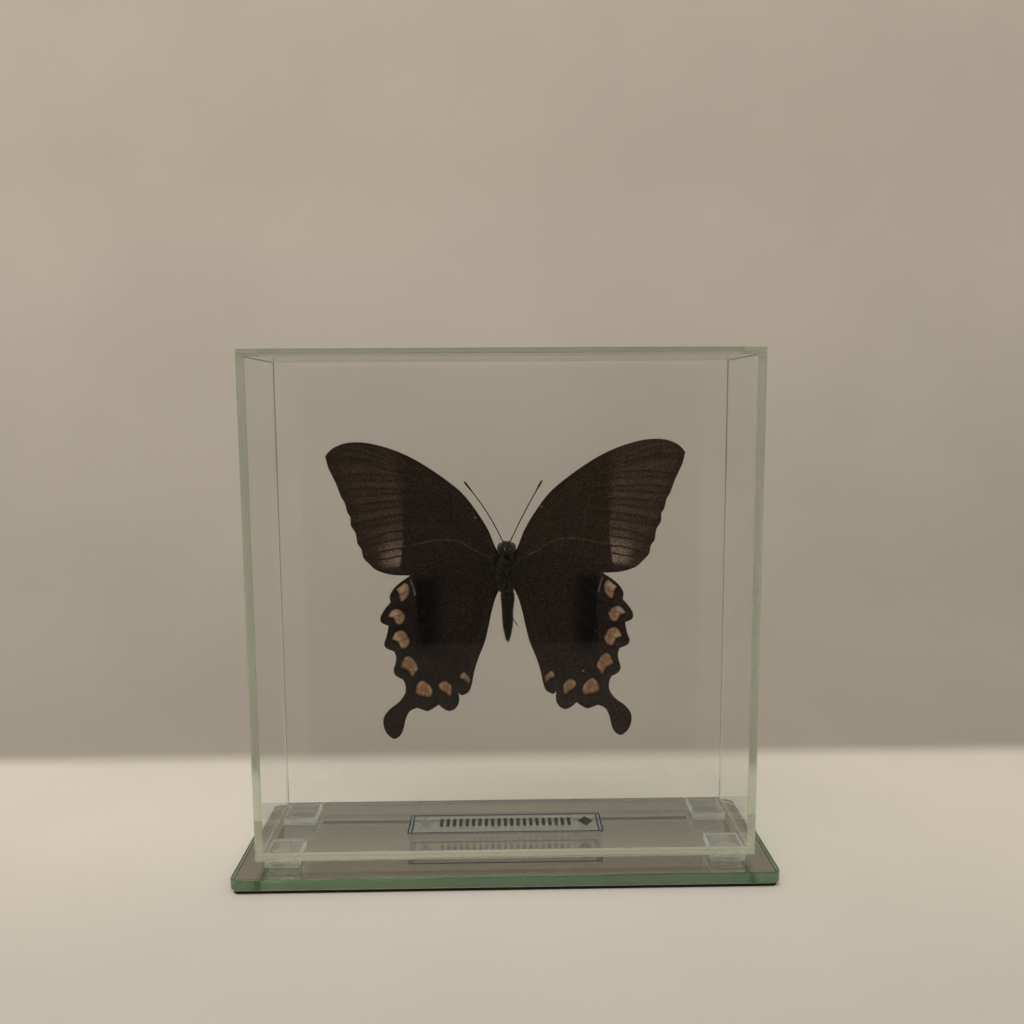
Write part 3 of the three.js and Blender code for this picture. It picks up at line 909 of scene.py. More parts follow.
def forewing_under():
    n = Nodes("forewing_underside")
    gold = n.ramp(n.noise(3800.0, 1.0), 0.56, 0.70, 0.0, 0.3)
    basal = n.mix(gold, UNDER_BROWN, UNDER_GOLD)
    basal = n.mix(n.near("vein", 0.06, 0.24, 0.12), basal, UNDER_VEIN)
    basal = n.mix(n.near("median", 0.08, 0.36, 0.4), basal, UNDER_VEIN)
    colour = n.mix(n.attribute("outer"), basal, UNDER_OUTER)
    line = n.wander(n.math("MINIMUM", n.attribute("vein"), n.attribute("fold")), 900.0, 0.35)
    dark = n.times(n.attribute("outer"), n.ramp(line, 0.12, 0.75, 0.9, 0.0))
    colour = n.mix(dark, colour, UNDER_LINE)
    streaky = n.noise((180.0, 180.0, 2600.0))
    pale = n.times(n.ramp(line, 0.1, 0.45), n.ramp(streaky, 0.25, 0.6, 0.6, 1.0))
    colour = n.mix(n.times(n.attribute("pale"), pale), colour, UNDER_PALE)
    # Painted shade: a dark line on the left forewing for the shade in a crease that the wing's shape lacks.
    colour = n.mix(n.near("crease", 0.1, 0.4, 0.6), colour, HIND_BLACK)
    colour = painted_light_right(n, grain(n, colour, 0.4))
    return under_finish(n, colour, scale_rows(n))


def hindwing_under():
    n = Nodes("hindwing_underside")
    rows = scale_rows(n)
    gold = n.ramp(n.noise(3600.0, 1.0), 0.54, 0.68, 0.0, 0.45)
    colour = n.mix(gold, HIND_BROWN, UNDER_GOLD)
    colour = n.mix(n.attribute("inner"), colour, HIND_INNER)
    colour = n.mix(n.attribute("pale"), colour, HIND_EDGE)
    colour = n.mix(n.attribute("black"), colour, HIND_BLACK)
    colour = n.mix(n.near("vein", 0.05, 0.25, 0.18), colour, HIND_VEIN)
    colour = painted_light_right(n, grain(n, colour, 0.45))
    streak = n.ramp(n.wander(n.attribute("streak"), 1500.0, 0.5, 4.0), 0.05, 0.34, 0.85, 0.0)
    colour = n.mix(streak, colour, SPOT_LILAC)
    edge = n.wander(n.attribute("spot"), 1500.0, 0.5, 4.0)
    colour = n.mix(n.ramp(edge, 0.1, 0.9, 0.55, 0.0), colour, SPOT_HALO)
    # The upper spots are cream on their outer half, the lower ones lilac along their inner edge.
    rise = n.wander(n.attribute("rise"), 700.0, 0.7, 4.0)
    outward = n.times(n.ramp(n.attribute("lower"), 0.0, 1.0, 0.9, 0.25), n.ramp(rise, 0.42, 0.80))
    outside = n.ramp(rise, 0.35, 0.65)
    rim = n.times(n.ramp(edge, -1.1, -0.35, 0.0, 0.6), n.math("SUBTRACT", 1.0, outside))
    cream = n.most(outward, rim)
    fill = n.mix(cream, SPOT_ORANGE, SPOT_CREAM)
    lilac = n.times(n.attribute("lower"), n.ramp(rise, 0.02, 0.26, 0.75, 0.0))
    fill = n.mix(lilac, fill, SPOT_LILAC)
    fill = n.mix(n.near("fold", 0.05, 0.45, 0.55), fill, SPOT_FOLD)
    # They are scorched along one edge: the inner one of the upper spots, the outer one of the lower.
    scorched = n.math("SUBTRACT", 1.0, n.gap(n.attribute("lower"), outside))
    fill = n.mix(n.times(scorched, n.ramp(edge, -0.9, -0.1, 0.0, 0.6)), fill, SPOT_SCORCH)
    colour = n.mix(n.ramp(edge, -0.50, 0.26, 1.0, 0.0), colour, grain(n, fill, 0.16))
    return under_finish(n, colour, rows)


def wing_upper(name):
    """Black, dusted with green, with a metallic blue-green band."""
    n = Nodes(name)
    rows = scale_rows(n)
    dust = n.ramp(n.noise(3200.0, 2.0), 0.52, 0.66)
    colour = n.mix(dust, UPPER_BLACK, UPPER_DUST)
    band = n.ramp(n.wander(n.attribute("band"), 1400.0, 0.35, 4.0), 0.35, 0.62)
    metal = n.mix(n.ramp(n.noise(90.0, 2.0), 0.3, 0.7), METAL_GREEN, METAL_BLUE)
    metal = n.mix(n.ramp(rows, 0.3, 0.7, 0.45, 0.0), metal, METAL_GAP)
    colour = n.mix(band, colour, metal)
    colour = n.mix(n.near("vein", 0.05, 0.3, 0.85), colour, UPPER_VEIN)
    return wing_finish(n, colour, rows, n.ramp(band, 0.0, 1.0, 0.72, 0.38), Specular_IOR_Level=0.25,
                       Metallic=n.times(band, 0.55))


FOREWING_Y = 0.5
HINDWING_Y = -0.4


def make_wings():
    fore = [forewing_under(), wing_upper("forewing_upperside")]
    hind = [hindwing_under(), wing_upper("hindwing_upperside")]
    pairs = {
        "fore": (FOREWING_RUNS, FOREWING_Y, forewing_shape, forewing_masks, fore),
        "hind": (HINDWING_RUNS, HINDWING_Y, hindwing_shape, hindwing_masks, hind),
    }
    for side in ("left", "right"):
        for pair, how in pairs.items():
            wing = wing_sheet(f"{pair}_{side}", side, *how)
            stands_for(wing, f"{pair}wing_{side}")


# ---------------------------------------------------------------- butterfly: body forms


class Form:
    """Gathers the parts of one piece in millimetres from the thorax centre, on the body's own axis."""

    def __init__(self):
        self.points, self.faces, self.slots, self.reach = [], [], [], []

    def add(self, points, faces, slot=0, reach=0.0):
        """Add a part. slot is its material, and reach is how far along a hair each point is."""
        start = len(self.points)
        self.points += [tuple(p) for p in points]
        self.faces += [tuple(int(i) + start for i in face) for face in faces]
        self.slots += [slot] * len(faces)
        self.reach += [reach] * len(points) if isinstance(reach, float) else list(reach)

    def piece(self, name, materials, slot, node):
        points = (np.array(self.points) + (BODY_X, 0.0, THORAX_LEVEL)) * MM
        thing = smooth_object(name, points, self.faces, materials)
        thing.data.polygons.foreach_set("material_index", np.array(self.slots, np.int32))
        set_values(thing.data, "reach", "POINT", np.array(self.reach, np.float32))
        stands_for(thing, node)


def mirrored(points, side):
    """Points for the side -1 or 1 from those of side 1."""
    return [(side * x, y, z) for x, y, z in points]


def upright_form(profile, squash, sides, centre, steps, swell=None):
    """A closed form about a vertical axis. profile is [radius, height] from the lowest point to the highest,
    squash is depth over width, and swell(angle, height) scales the radius. Angle 0 is towards +X."""
    curve = spline(profile, steps)
    curve[:, 0] = np.maximum(curve[:, 0], 0)

    def place(radius, z, angle):
        r = radius * (swell(angle, z) if swell else 1.0)
        return centre[0] + r * math.cos(angle), centre[1] + r * squash * math.sin(angle), z

    return lathe(curve, sides, place)


def ball(centre, half, sides=20, rings=12, lean=0.0):
    """A closed ellipsoid with the given half sizes, leaning by the given angle about Y."""
    levels = [math.pi * (k / rings - 0.5) for k in range(rings + 1)]
    profile = [(math.cos(level), math.sin(level)) for level in levels]
    profile[0], profile[-1] = (0.0, profile[0][1]), (0.0, profile[-1][1])

    def place(radius, level, angle):
        x = half[0] * radius * math.cos(angle)
        y = half[1] * radius * math.sin(angle)
        z = half[2] * level
        return (
            centre[0] + x * math.cos(lean) + z * math.sin(lean),
            centre[1] + y,
            centre[2] + z * math.cos(lean) - x * math.sin(lean),
        )

    return lathe(profile, sides, place)


def tube(path, radii, sides):
    """A closed tube along a path of 3-D points, with one radius for each point."""
    path = np.array(path, float)
    radii = np.array(radii, float)
    along = np.gradient(path, axis=0)
    along /= np.linalg.norm(along, axis=1)[:, None]
    side = np.cross(along[0], (0.0, 1.0, 0.0))
    if np.linalg.norm(side) < 1e-3:
        side = np.cross(along[0], (1.0, 0.0, 0.0))
    points, loops = [tuple(path[0])], [[0]]
    for place, forward, radius in zip(path, along, radii):
        side = side - forward * (side @ forward)
        side /= np.linalg.norm(side)
        up = np.cross(forward, side)
        loops.append(list(range(len(points), len(points) + sides)))
        for i in range(sides):
            angle = 2 * math.pi * i / sides
            points.append(tuple(place + radius * (math.cos(angle) * side + math.sin(angle) * up)))
    loops.append([len(points)])
    points.append(tuple(path[-1]))
    return points, ring_faces(loops)


HAIR_DROOP = 0.7
HAIR_LENGTHS = (0.55, 1.25)
HAIR_ROOT_DEPTH = 0.04
HAIR_TAPER = 0.7
# A hair has three points at its foot, three at its middle and one at its tip.
HAIR_REACH = [0.0, 0.0, 0.0, 0.5, 0.5, 0.5, 1.0]
HAIR_FACES = [(0, 1, 3), (3, 1, 4), (1, 2, 4), (4, 2, 5), (2, 0, 5), (5, 0, 3), (3, 4, 6), (4, 5, 6),
              (5, 3, 6), (0, 2, 1)]


def grow_hair(form, shape, lean, seed, count, length, root, spread=0.3, lift=0.6):
    """Fine tapered hairs on a shape's surface, mostly leaning the given way. root is a hair's radius at its
    foot, spread is how far hairs stray, and lift is how much they stand off the surface."""
    chance = np.random.default_rng(seed)
    points = np.array(shape[0], float)
    corners = np.array([(f[0], f[i], f[i + 1]) for f in shape[1] for i in range(1, len(f) - 1)])
    a, b, c = points[corners[:, 0]], points[corners[:, 1]], points[corners[:, 2]]
    normal = np.cross(b - a, c - a)
    area = np.linalg.norm(normal, axis=1)
    pick = chance.choice(len(area), count, p=area / area.sum())
    s, t = chance.random(count), chance.random(count)
    s, t = np.where(s + t > 1, 1 - s, s)[:, None], np.where(s + t > 1, 1 - t, t)[:, None]
    place = a[pick] + s * (b - a)[pick] + t * (c - a)[pick]
    out = normal[pick] / np.linalg.norm(normal[pick], axis=1)[:, None]
    way = unit(out * lift + np.array(lean) + chance.normal(0, spread, (count, 3)))
    fall = unit(way + np.array(lean) * HAIR_DROOP)
    size = length * chance.uniform(*HAIR_LENGTHS, count)[:, None]
    side = unit(np.cross(way, chance.normal(0, 1, (count, 3))))
    other = np.cross(way, side)
    middle = place + way * size * 0.5
    tip = middle + fall * size * 0.5
    turns = [2 * math.pi * i / 3 for i in range(3)]
    low = [place - out * HAIR_ROOT_DEPTH + root * (math.cos(q) * side + math.sin(q) * other) for q in turns]
    mid = [middle + root * HAIR_TAPER * (math.cos(q) * side + math.sin(q) * other) for q in turns]
    hair = np.stack(low + mid + [tip], axis=1).reshape(-1, 3)
    faces = (np.arange(count)[:, None, None] * len(HAIR_REACH) + np.array(HAIR_FACES)[None]).reshape(-1, 3)
    form.add(hair, faces, 0, np.tile(HAIR_REACH, count))


def unit(vectors):
    """Each vector, or the only one, at length 1."""
    return vectors / np.linalg.norm(vectors, axis=-1, keepdims=True)


# ---------------------------------------------------------------- butterfly: body materials

# Each fur's colours: at the hairs' roots, at their tips and in its dark patches.
DARK_FUR = ((0.030, 0.0245, 0.014), (0.165, 0.137, 0.088), (0.006, 0.0048, 0.003))
BROWN_FUR = ((0.042, 0.0215, 0.0045), (0.170, 0.090, 0.022), (0.009, 0.0045, 0.0015))
# Each skin's colours: bare, and of the scales that dust it. Two of them say how rough they are too.
BODY_SKIN = ((0.010, 0.008, 0.006), (0.030, 0.027, 0.018))
FEELER_SKIN = ((0.012, 0.009, 0.005), (0.030, 0.024, 0.014))
LIMB_SKIN = ((0.016, 0.014, 0.010), (0.048, 0.043, 0.031))
# The pale scales on the palps, bright enough to serve as a painted highlight as well.
PALE_SCALES_AND_HIGHLIGHT = ((0.36, 0.33, 0.27), (0.5, 0.47, 0.4), (0.5, 0.7))
PROBOSCIS_SKIN = ((0.045, 0.026, 0.012), (0.09, 0.055, 0.025), (0.2, 0.35))
EYE_DARK = (0.034, 0.026, 0.020)
EYE_PALE = (0.062, 0.049, 0.037)
EYE_SEAM = (0.014, 0.010, 0.008)


def fur_material(name, root_colour, tip_colour, base_colour):
    """Hair that pales from root to tip, on darker skin."""
    n = Nodes(name)
    patch = n.ramp(n.noise((2400.0, 2400.0, 700.0), 4.0), 0.40, 0.60)
    hair = n.mix(n.attribute("reach"), root_colour, tip_colour)
    colour = n.mix(n.times(patch, 0.8), hair, base_colour)
    rough = n.ramp(n.noise(2500.0), 0.3, 0.7, 0.5, 0.75)
    return n.surface(Base_Color=colour, Roughness=rough, Specular_IOR_Level=0.06)


def skin_material(name, colour, dust, rough=(0.35, 0.6)):
    """Dried body wall: dark, finely pitted, with paler scales on it."""
    n = Nodes(name)
    grain = n.noise(5000.0, 2.0)
    dusted = n.ramp(n.noise(1700.0, 4.0), 0.5, 0.68)
    mixed = n.mix(n.times(dusted, 0.6), colour, dust)
    return n.surface(Base_Color=mixed, Roughness=n.ramp(grain, 0.3, 0.7, *rough),
                     Specular_IOR_Level=0.2, Normal=n.bump(grain, 0.00003, 0.6))


def eye_material():
    """Compound eye: tiny facets with a satin gleam."""
    n = Nodes("compound_eye")
    facets = n.add("TexVoronoi", feature="DISTANCE_TO_EDGE")
    n.put(facets.inputs["Vector"], n.place())
    facets.inputs["Scale"].default_value = 11000.0
    wall = n.ramp(facets.outputs["Distance"], 0.0, 0.18)
    blotch = n.ramp(n.noise(1500.0), 0.35, 0.7)
    colour = n.mix(blotch, EYE_DARK, EYE_PALE)
    colour = n.mix(wall, EYE_SEAM, colour)
    return n.surface(Base_Color=colour, Roughness=n.ramp(blotch, 0.0, 1.0, 0.4, 0.55),
                     Specular_IOR_Level=0.25, Normal=n.bump(wall, 0.00001, 0.4))


# ---------------------------------------------------------------- butterfly: body

THORAX = [(0, -5.2), (1.4, -4.9), (2.1, -3.6), (2.4, -1.2), (2.45, 1.2), (2.15, 3.2), (1.5, 4.3), (0.9, 4.9),
          (0, 5.0)]
THORAX_SQUASH = 3.1 / 2.45
THORAX_SHIFT = -0.2
HIP_LEVELS = (3.0, 0.6, -1.8)
ABDOMEN = [(0, -20.5), (0.71, -18.8), (1.31, -16.0), (1.5, -13.7), (1.54, -11.2), (1.79, -8.9), (1.96, -6.5),
           (1.6, -5.4), (0.9, -4.9), (0, -4.7)]
ABDOMEN_SHIFT = 0.2
ABDOMEN_RINGS = (-6.9, -8.9, -10.9, -12.9, -14.8, -16.6, -18.2)
HEAD = [(0, 4.2), (1.1, 4.5), (1.7, 5.4), (1.95, 6.6), (1.85, 7.7), (1.3, 8.5), (0.6, 8.85), (0, 8.9)]
UNDER = -math.pi / 2


def off_underside(angle):
    return abs((angle - UNDER + math.pi) % (2 * math.pi) - math.pi)


def hump(value, centre, width):
    return math.exp(-(((value - centre) / width) ** 2))


def thorax_swell(angle, z):
    """A groove down the underside with three pairs of hip lumps beside it."""
    off = off_underside(angle)
    hips = sum(hump(z, level, 0.8) for level in HIP_LEVELS)
    lumps = 0.05 * hips * hump(off, 0.42, 0.26)
    groove = -0.05 * hump(off, 0.0, 0.12)
    return 1 + lumps + groove


def abdomen_swell(angle, z):
    """Eight overlapping rings, with a fold down each side."""
    pinch = sum(hump(z, level, 0.16) for level in ABDOMEN_RINGS)
    return 1 - 0.085 * pinch - 0.04 * hump(off_underside(angle), 1.25, 0.12)


# The hair of each part, as grow_hair takes it, and the ways it leans: down the body and forward on the head.
THORAX_COAT = dict(count=5200, length=1.0, root=0.035)
SHOULDER_COAT = dict(count=700, length=1.2, root=0.03)
ABDOMEN_COAT = dict(count=3600, length=0.62, root=0.022, lift=0.35, spread=0.16)
HEAD_COAT = dict(count=1500, length=0.75, root=0.03)
PALP_COAT = dict(count=650, length=0.5, root=0.024, lift=0.45)
LEG_COAT = dict(count=260, length=0.26, root=0.012, lift=0.7)
DOWN = (0.0, 0.0, -1.0)
FORWARD = (0.0, -0.1, 0.8)
# Furry bulges over the wing roots; the left one is larger. Each is a centre and half sizes.
SHOULDERS = {-1: ((3.0, 0.0, 2.0), (1.25, 0.8, 3.7)), 1: ((2.3, 0.0, 3.0), (0.75, 0.8, 1.9))}
SHOULDER_LEAN = 0.3


def make_trunk(fur, brown_fur, skin):
    form = Form()
    shape = upright_form(THORAX, THORAX_SQUASH, 48, (THORAX_SHIFT, BODY_Y), 5, thorax_swell)
    form.add(*shape, slot=1)
    grow_hair(form, shape, DOWN, 11, **THORAX_COAT)
    for side in (-1, 1):
        centre, half = SHOULDERS[side]
        shoulder = ball(*mirrored([centre], side), half, lean=side * SHOULDER_LEAN)
        form.add(*shoulder, slot=1)
        grow_hair(form, shoulder, (side * 0.7, 0.1, -0.5), 12 + side, **SHOULDER_COAT)
    form.piece("thorax_fur", [fur, skin], "body_fur", "thorax")

    form = Form()
    shape = upright_form(ABDOMEN, 1.05, 40, (ABDOMEN_SHIFT, BODY_Y), 12, abdomen_swell)
    form.add(*shape, slot=1)
    grow_hair(form, shape, DOWN, 21, **ABDOMEN_COAT)
    form.piece("abdomen_rings", [brown_fur, skin], "body_fur", "abdomen")


EYE_CENTRE = (1.72, -1.15, 7.35)
EYE_HALF = (1.0, 1.35, 1.55)
PALP_PATH = [(0.55, -2.6, 4.7), (0.62, -3.45, 5.6), (0.66, -3.6, 6.9), (0.66, -3.2, 8.3), (0.68, -2.5, 9.3)]
PALP_RADII = [0.34, 0.46, 0.50, 0.42, 0.16]
# Stripes of pale scales on the palps, which also make a painted highlight: long on the left, where the light is
# brighter, short on the right.
PALP_STRIPES_AND_HIGHLIGHT = {
    -1: [(0.5, -4.05, 6.4), (0.5, -4.1, 6.9), (0.52, -3.95, 7.5), (0.54, -3.7, 8.0)],
    1: [(0.86, -3.85, 7.1), (0.9, -3.8, 7.4), (0.9, -3.7, 7.7), (0.86, -3.5, 8.0)],
}
STRIPE_RADII = [0.05, 0.17, 0.16, 0.05]
PROBOSCIS_CENTRE = (0.0, -3.3, 6.3)
PROBOSCIS_TURNS = 2.6
PROBOSCIS_STEPS = 90


def make_head(fur, skin):
    form = Form()
    core = upright_form(HEAD, 0.98, 32, (0.0, BODY_Y - 0.1), 4)
    form.add(*core, slot=1)
    grow_hair(form, core, FORWARD, 31, **HEAD_COAT)
    eye = eye_material()
    pale = skin_material("pale_scales_and_highlight", *PALE_SCALES_AND_HIGHLIGHT)
    gold = skin_material("proboscis", *PROBOSCIS_SKIN)
    for side in (-1, 1):
        form.add(*ball(*mirrored([EYE_CENTRE], side), EYE_HALF, 32, 20), slot=2)
        path = spline(mirrored(PALP_PATH, side), 4)
        radii = np.interp(np.linspace(0, 1, len(path)), np.linspace(0, 1, 5), PALP_RADII)
        palp = tube(path, radii, 14)
        form.add(*palp, slot=1)
        grow_hair(form, palp, FORWARD, 33 + side, **PALP_COAT)
        # Pale scales along each palp, partly a painted highlight.
        form.add(*tube(mirrored(PALP_STRIPES_AND_HIGHLIGHT[side], side), STRIPE_RADII, 10), slot=3)
    coil = []
    for share in [i / PROBOSCIS_STEPS for i in range(PROBOSCIS_STEPS + 1)]:
        angle = 2 * math.pi * PROBOSCIS_TURNS * share + 1.2
        radius = 0.16 + 0.62 * share
        coil.append((
            PROBOSCIS_CENTRE[0] + 0.02 * math.sin(angle * 0.5),
            PROBOSCIS_CENTRE[1] - radius * math.cos(angle),
            PROBOSCIS_CENTRE[2] + radius * math.sin(angle),
        ))
    form.add(*tube(coil, np.linspace(0.05, 0.12, len(coil)), 8), slot=4)
    form.piece("head_detail", [fur, skin, eye, pale, gold], "body_fur", "head")


# ---------------------------------------------------------------- butterfly: antennae and legs

ANTENNA_ROOT = (0.8, -1.1, 8.7)
ANTENNA_TIPS = {-1: (12.0, 26.6), 1: (10.3, 26.8)}
ANTENNA_BOWS = {-1: 0.85, 1: 0.25}
ANTENNA_JOINTS = 42
# The widths along one joint of an antenna, as shares of its length and of its radius.
ANTENNA_BEAD = ((0.0, 0.86), (0.5, 0.95), (0.82, 1.08), (0.97, 0.9))
LEG_LAYER = -4.55
LEG_PATHS = {
    "fore": [(0.45, -3.7, 3.2), (0.5, LEG_LAYER, 3.5), (1.9, LEG_LAYER, 4.1), (0.85, LEG_LAYER, 6.0),
             (0.45, LEG_LAYER, 7.4)],
    "mid": [(0.45, -3.8, 0.8), (0.5, LEG_LAYER, 1.0), (1.8, LEG_LAYER, 2.2), (2.0, LEG_LAYER, -1.5),
            (1.8, LEG_LAYER + 0.2, -4.8)],
    "hind": [(0.45, -3.6, -1.5), (0.5, LEG_LAYER, -1.6), (1.0, LEG_LAYER, -4.6), (1.35, -3.2, -11.6)],
}
# The left hind foot is folded along the abdomen, the right one stands off it.
HIND_CLAWS = {-1: (1.0, -3.1, -13.6), 1: (3.0, -2.3, -15.2)}


def make_antenna(name, side, skin):
    """Short joints, each a little swollen at its end, thickening into a club."""
    root = np.array(mirrored([ANTENNA_ROOT], side)[0])
    x, z = ANTENNA_TIPS[side]
    tip = np.array([side * x, BODY_Y, z])
    path, radii = [], []
    for joint in range(ANTENNA_JOINTS):
        club = 0.145 * float(smoothstep(joint / ANTENNA_JOINTS, 0.80, 0.93))
        fade = 1 - 0.55 * float(smoothstep(joint / ANTENNA_JOINTS, 0.95, 1.0))
        for within, width in ANTENNA_BEAD:
            share = (joint + within) / ANTENNA_JOINTS
            bow = math.sin(math.pi * share)
            bend = np.array([-side * ANTENNA_BOWS[side] * bow, 0.25 * bow, 0.0])
            path.append(root + (tip - root) * share + bend)
            radii.append((0.165 + club) * fade * width)
    form = Form()
    form.add(*tube(path, radii, 12))
    form.add(*ball(tuple(root), (0.26, 0.26, 0.3)))
    form.piece(f"feeler_{name}", [skin], "chitin", f"antenna_{name}")


# A leg's radius along its thigh, shin and foot, by the share of its length.
LEG_PROFILE = [(0, 0.22), (0.08, 0.27), (0.2, 0.30), (0.36, 0.20), (0.40, 0.22), (0.46, 0.15), (0.66, 0.17),
               (0.70, 0.14), (0.98, 0.12), (1.0, 0.06)]
SHIN_SHARE, ANKLE_SHARE = 0.60, 0.68
FOOT_START = 0.70
FOOT_JOINT = 0.06
LEG_STEPS = 90


def make_leg(name, pair, side, skin, seed):
    joints = LEG_PATHS[pair] + ([HIND_CLAWS[side]] if pair == "hind" else [])
    path = spline(mirrored(joints, side), 14)
    path = even_points(path, lambda length: LEG_STEPS)
    radii = []
    for share in np.linspace(0, 1, LEG_STEPS):
        swelling = 0.18 * math.cos(2 * math.pi * (share - FOOT_START) / FOOT_JOINT) * (share > FOOT_START)
        radii.append(float(np.interp(share, *zip(*LEG_PROFILE))) * (1 + swelling))
    form = Form()
    limb = tube(path, radii, 10)
    form.add(*limb)
    ankle, foot_end = path[int(ANKLE_SHARE * LEG_STEPS)], path[-1]
    ahead = unit(path[-1] - path[-6])
    shin = unit(ankle - path[int(SHIN_SHARE * LEG_STEPS)])
    for turn in (-1, 1):
        spur_tip = ankle + shin * 0.35 + np.array([turn * 0.22, -0.05, 0.0])
        form.add(*tube([ankle, (ankle + spur_tip) / 2, spur_tip], [0.05, 0.04, 0.01], 6))
        bend = foot_end + ahead * 0.18 + np.array([turn * 0.12, 0.0, 0.0])
        claw = [foot_end, bend, bend + ahead * 0.12 + np.array([-turn * 0.04, 0.05, 0.0])]
        form.add(*tube(claw, [0.05, 0.035, 0.01], 6))
    grow_hair(form, limb, unit(path[-1] - path[0]), seed, **LEG_COAT)
    form.piece(f"limb_{pair}_{name}", [skin], "chitin", f"leg_{pair}_{name}")


def make_body():
    fur = fur_material("body_fur", *DARK_FUR)
    brown_fur = fur_material("abdomen_fur", *BROWN_FUR)
    skin = skin_material("body_skin", *BODY_SKIN)
    feeler = skin_material("feeler_skin", *FEELER_SKIN)
    limb = skin_material("limb_skin", *LIMB_SKIN)
    make_trunk(fur, brown_fur, skin)
    make_head(fur, skin)
    for name, side in (("left", -1), ("right", 1)):
        make_antenna(name, side, feeler)
        for number, pair in enumerate(LEG_PATHS):
            make_leg(name, pair, side, limb, 50 + 2 * number + side)


# ---------------------------------------------------------------- floor, backdrop and light

# Painted shade: the floor is painted darker towards the camera and paler behind the object.
FLOOR_COLOUR = (0.66, 0.62, 0.55)
FAR_FLOOR_COLOUR = (0.82, 0.77, 0.68)
FLOOR_FAR, FLOOR_NEAR = 0.06, -0.10
# The wall is painted paler towards its top: painted light, for the brighter light up there.
WALL_COLOUR = (0.43, 0.393, 0.34)
LIT_WALL_TOP_COLOUR = (0.62, 0.57, 0.495)
WALL_HIGH = 0.33
# Where the floor's colour turns into the wall's.
WALL_START, WALL_FULL = 0.066, 0.084
COVE_START = 0.085
COVE_RADIUS = 0.30
COVE_STEPS = 32
STAGE_HALF_WIDTH = 3.0
STAGE_NEAR = -3.0
STAGE_TOP = 2.5
# The panes reflect a table in shade and, beyond its near edge, a dark room behind the camera.
SHADED_FROM, SHADED_TO = -0.035, -0.05
TABLE_EDGE = -0.273
SHADED_TABLE = (0.088, 0.080, 0.070)
DARK_ROOM = (0.008, 0.007, 0.006)


def pane_reflection(n):
    """1 for light that comes by way of one reflection, and 0 for what is seen directly or through glass."""
    once = n.add("Math", operation="COMPARE")
    n.put(once.inputs[0], n.add("LightPath").outputs["Glossy Depth"])
    n.put(once.inputs[1], 1.0)
    n.put(once.inputs[2], 0.5)
    return once.outputs[0]


def stage_material():
    n = Nodes("stage")
    split = n.add("SeparateXYZ")
    n.put(split.inputs[0], n.place())
    depth, height = split.outputs[1], split.outputs[2]
    floor = n.mix(n.ramp(depth, FLOOR_NEAR, FLOOR_FAR), FLOOR_COLOUR, FAR_FLOOR_COLOUR)
    wall = n.mix(n.ramp(height, 0.0, WALL_HIGH), WALL_COLOUR, LIT_WALL_TOP_COLOUR)
    colour = n.mix(n.ramp(depth, WALL_START, WALL_FULL), floor, wall)
    colour = n.shade(colour, n.ramp(n.noise(9.0), 0.2, 0.8, 0.96, 1.03))
    behind = n.mix(n.ramp(depth, TABLE_EDGE - 0.01, TABLE_EDGE), DARK_ROOM, SHADED_TABLE)
    in_front = n.ramp(depth, SHADED_TO, SHADED_FROM, 1.0, 0.0)
    colour = n.mix(n.times(in_front, pane_reflection(n)), colour, behind)
    return n.surface(Base_Color=colour, Roughness=0.9, Specular_IOR_Level=0.2)


def make_stage():
    """A floor that sweeps up into a wall behind the object."""
    profile = [(STAGE_NEAR, 0.0), (COVE_START, 0.0)]
    for i in range(1, COVE_STEPS + 1):
        angle = math.pi / 2 * i / COVE_STEPS
        profile.append((
            COVE_START + COVE_RADIUS * math.sin(angle),
            COVE_RADIUS * (1 - math.cos(angle)),
        ))
    profile.append((profile[-1][0], STAGE_TOP))
    vertices = [(x, y, z) for y, z in profile for x in (-STAGE_HALF_WIDTH, STAGE_HALF_WIDTH)]
    faces = [(2 * i, 2 * i + 1, 2 * i + 3, 2 * i + 2) for i in range(len(profile) - 1)]
    floor = smooth_object("stage_floor", vertices, faces, [stage_material()])


LAMP_COLOUR = (1.0, 0.97, 0.93)
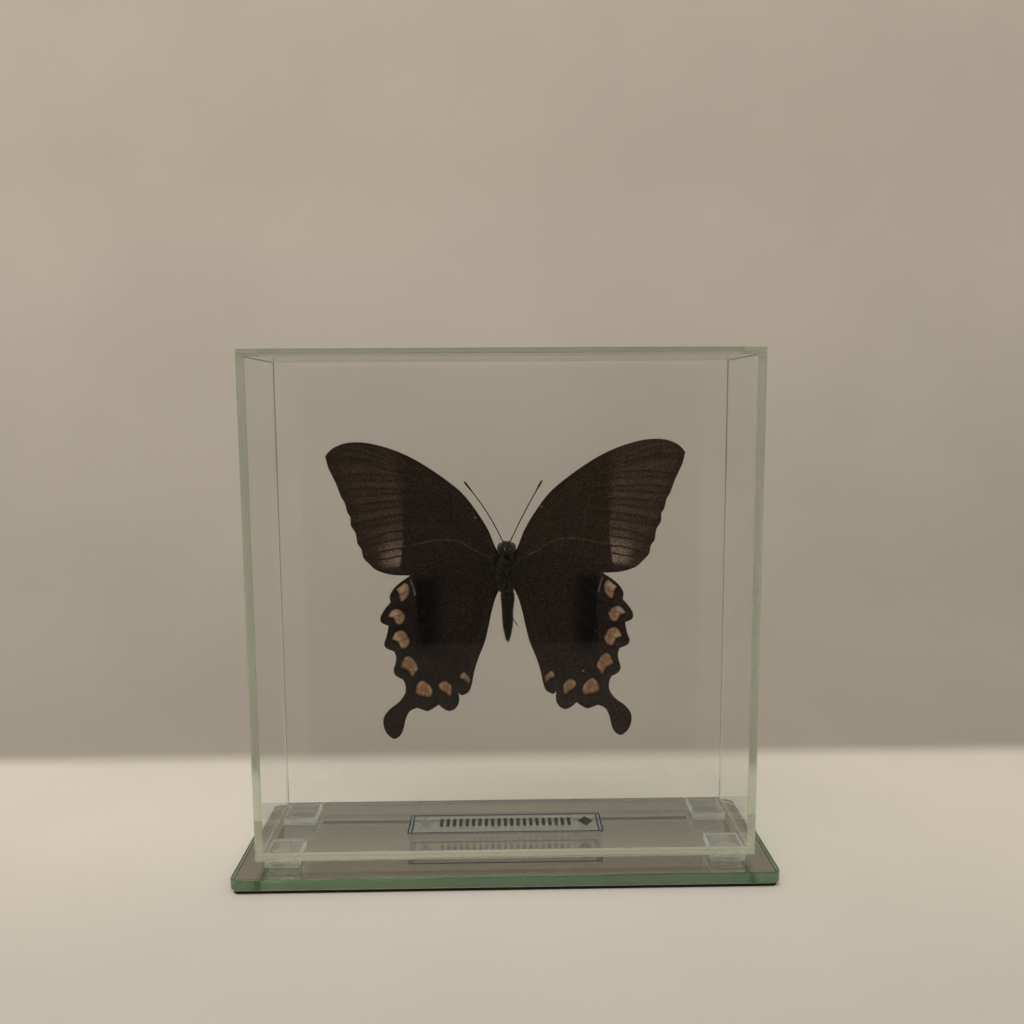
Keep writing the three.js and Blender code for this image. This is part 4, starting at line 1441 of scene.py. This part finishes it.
# Each lamp's name, its place, the height that it aims at above the base's middle, its size and its power.
LAMPS = [
    ("key", (-0.65, -0.35, 1.2), 0.05, 1.2, 10.0),
    ("fill", (0.9, -0.9, 0.8), 0.07, 1.0, 4.0),
    ("rim", (0.2, 0.9, 0.9), 0.07, 0.7, 2.0),
]
# Enough for light to pass through every pane that can lie in its way.
LIGHT_BOUNCES = 32


def area_light(name, place, aim_height, size, power):
    data = bpy.data.lights.new(name, "AREA")
    data.shape = "SQUARE"
    data.size = size
    data.energy = power
    data.color = LAMP_COLOUR
    lamp = add_object(name, data)
    lamp.location = place
    lamp.rotation_mode = "QUATERNION"
    lamp.rotation_quaternion = (Vector((0, 0, aim_height)) - Vector(place)).to_track_quat("-Z", "Y")


ROOM_COLOUR = (0.33, 0.305, 0.27)
# Between these heights of a ray's direction, the room's reflection turns from dark to pale, and it is dark
# only behind the camera: as far round as these depths of the direction.
ROOM_DARK_BELOW, ROOM_PALE_ABOVE = 0.15, 0.45
ROOM_DARK_BEHIND, ROOM_PALE_BESIDE = -0.30, -0.05


def make_room():
    """Pale all round, but dark low down behind the camera where a pane reflects it."""
    n = Nodes("studio", "worlds", "OutputWorld")
    split = n.add("SeparateXYZ")
    n.put(split.inputs[0], n.add("TexCoord").outputs["Generated"])
    low = n.ramp(split.outputs[2], ROOM_DARK_BELOW, ROOM_PALE_ABOVE, 1.0, 0.0)
    behind = n.ramp(split.outputs[1], ROOM_DARK_BEHIND, ROOM_PALE_BESIDE, 1.0, 0.0)
    dark = n.times(n.times(low, behind), pane_reflection(n))
    background = n.add("Background")
    n.put(background.inputs["Color"], n.mix(dark, ROOM_COLOUR, DARK_ROOM))
    bpy.context.scene.world = n.finish(background)


def make_light():
    for lamp in LAMPS:
        area_light(*lamp)
    bpy.context.scene.view_settings.view_transform = "Standard"
    for name in ("max_bounces", "transmission_bounces", "transparent_max_bounces", "glossy_bounces"):
        setattr(bpy.context.scene.cycles, name, LIGHT_BOUNCES)


make_camera()
make_stage()
make_room()
make_light()
make_case(glass_material("case_glass", *CASE_GLASS))
make_feet(glass_material("foot_glass", *FOOT_GLASS))
make_base(glass_material("base_glass", *BASE_GLASS))
make_label()
make_stand_off()
make_wings()
make_body()
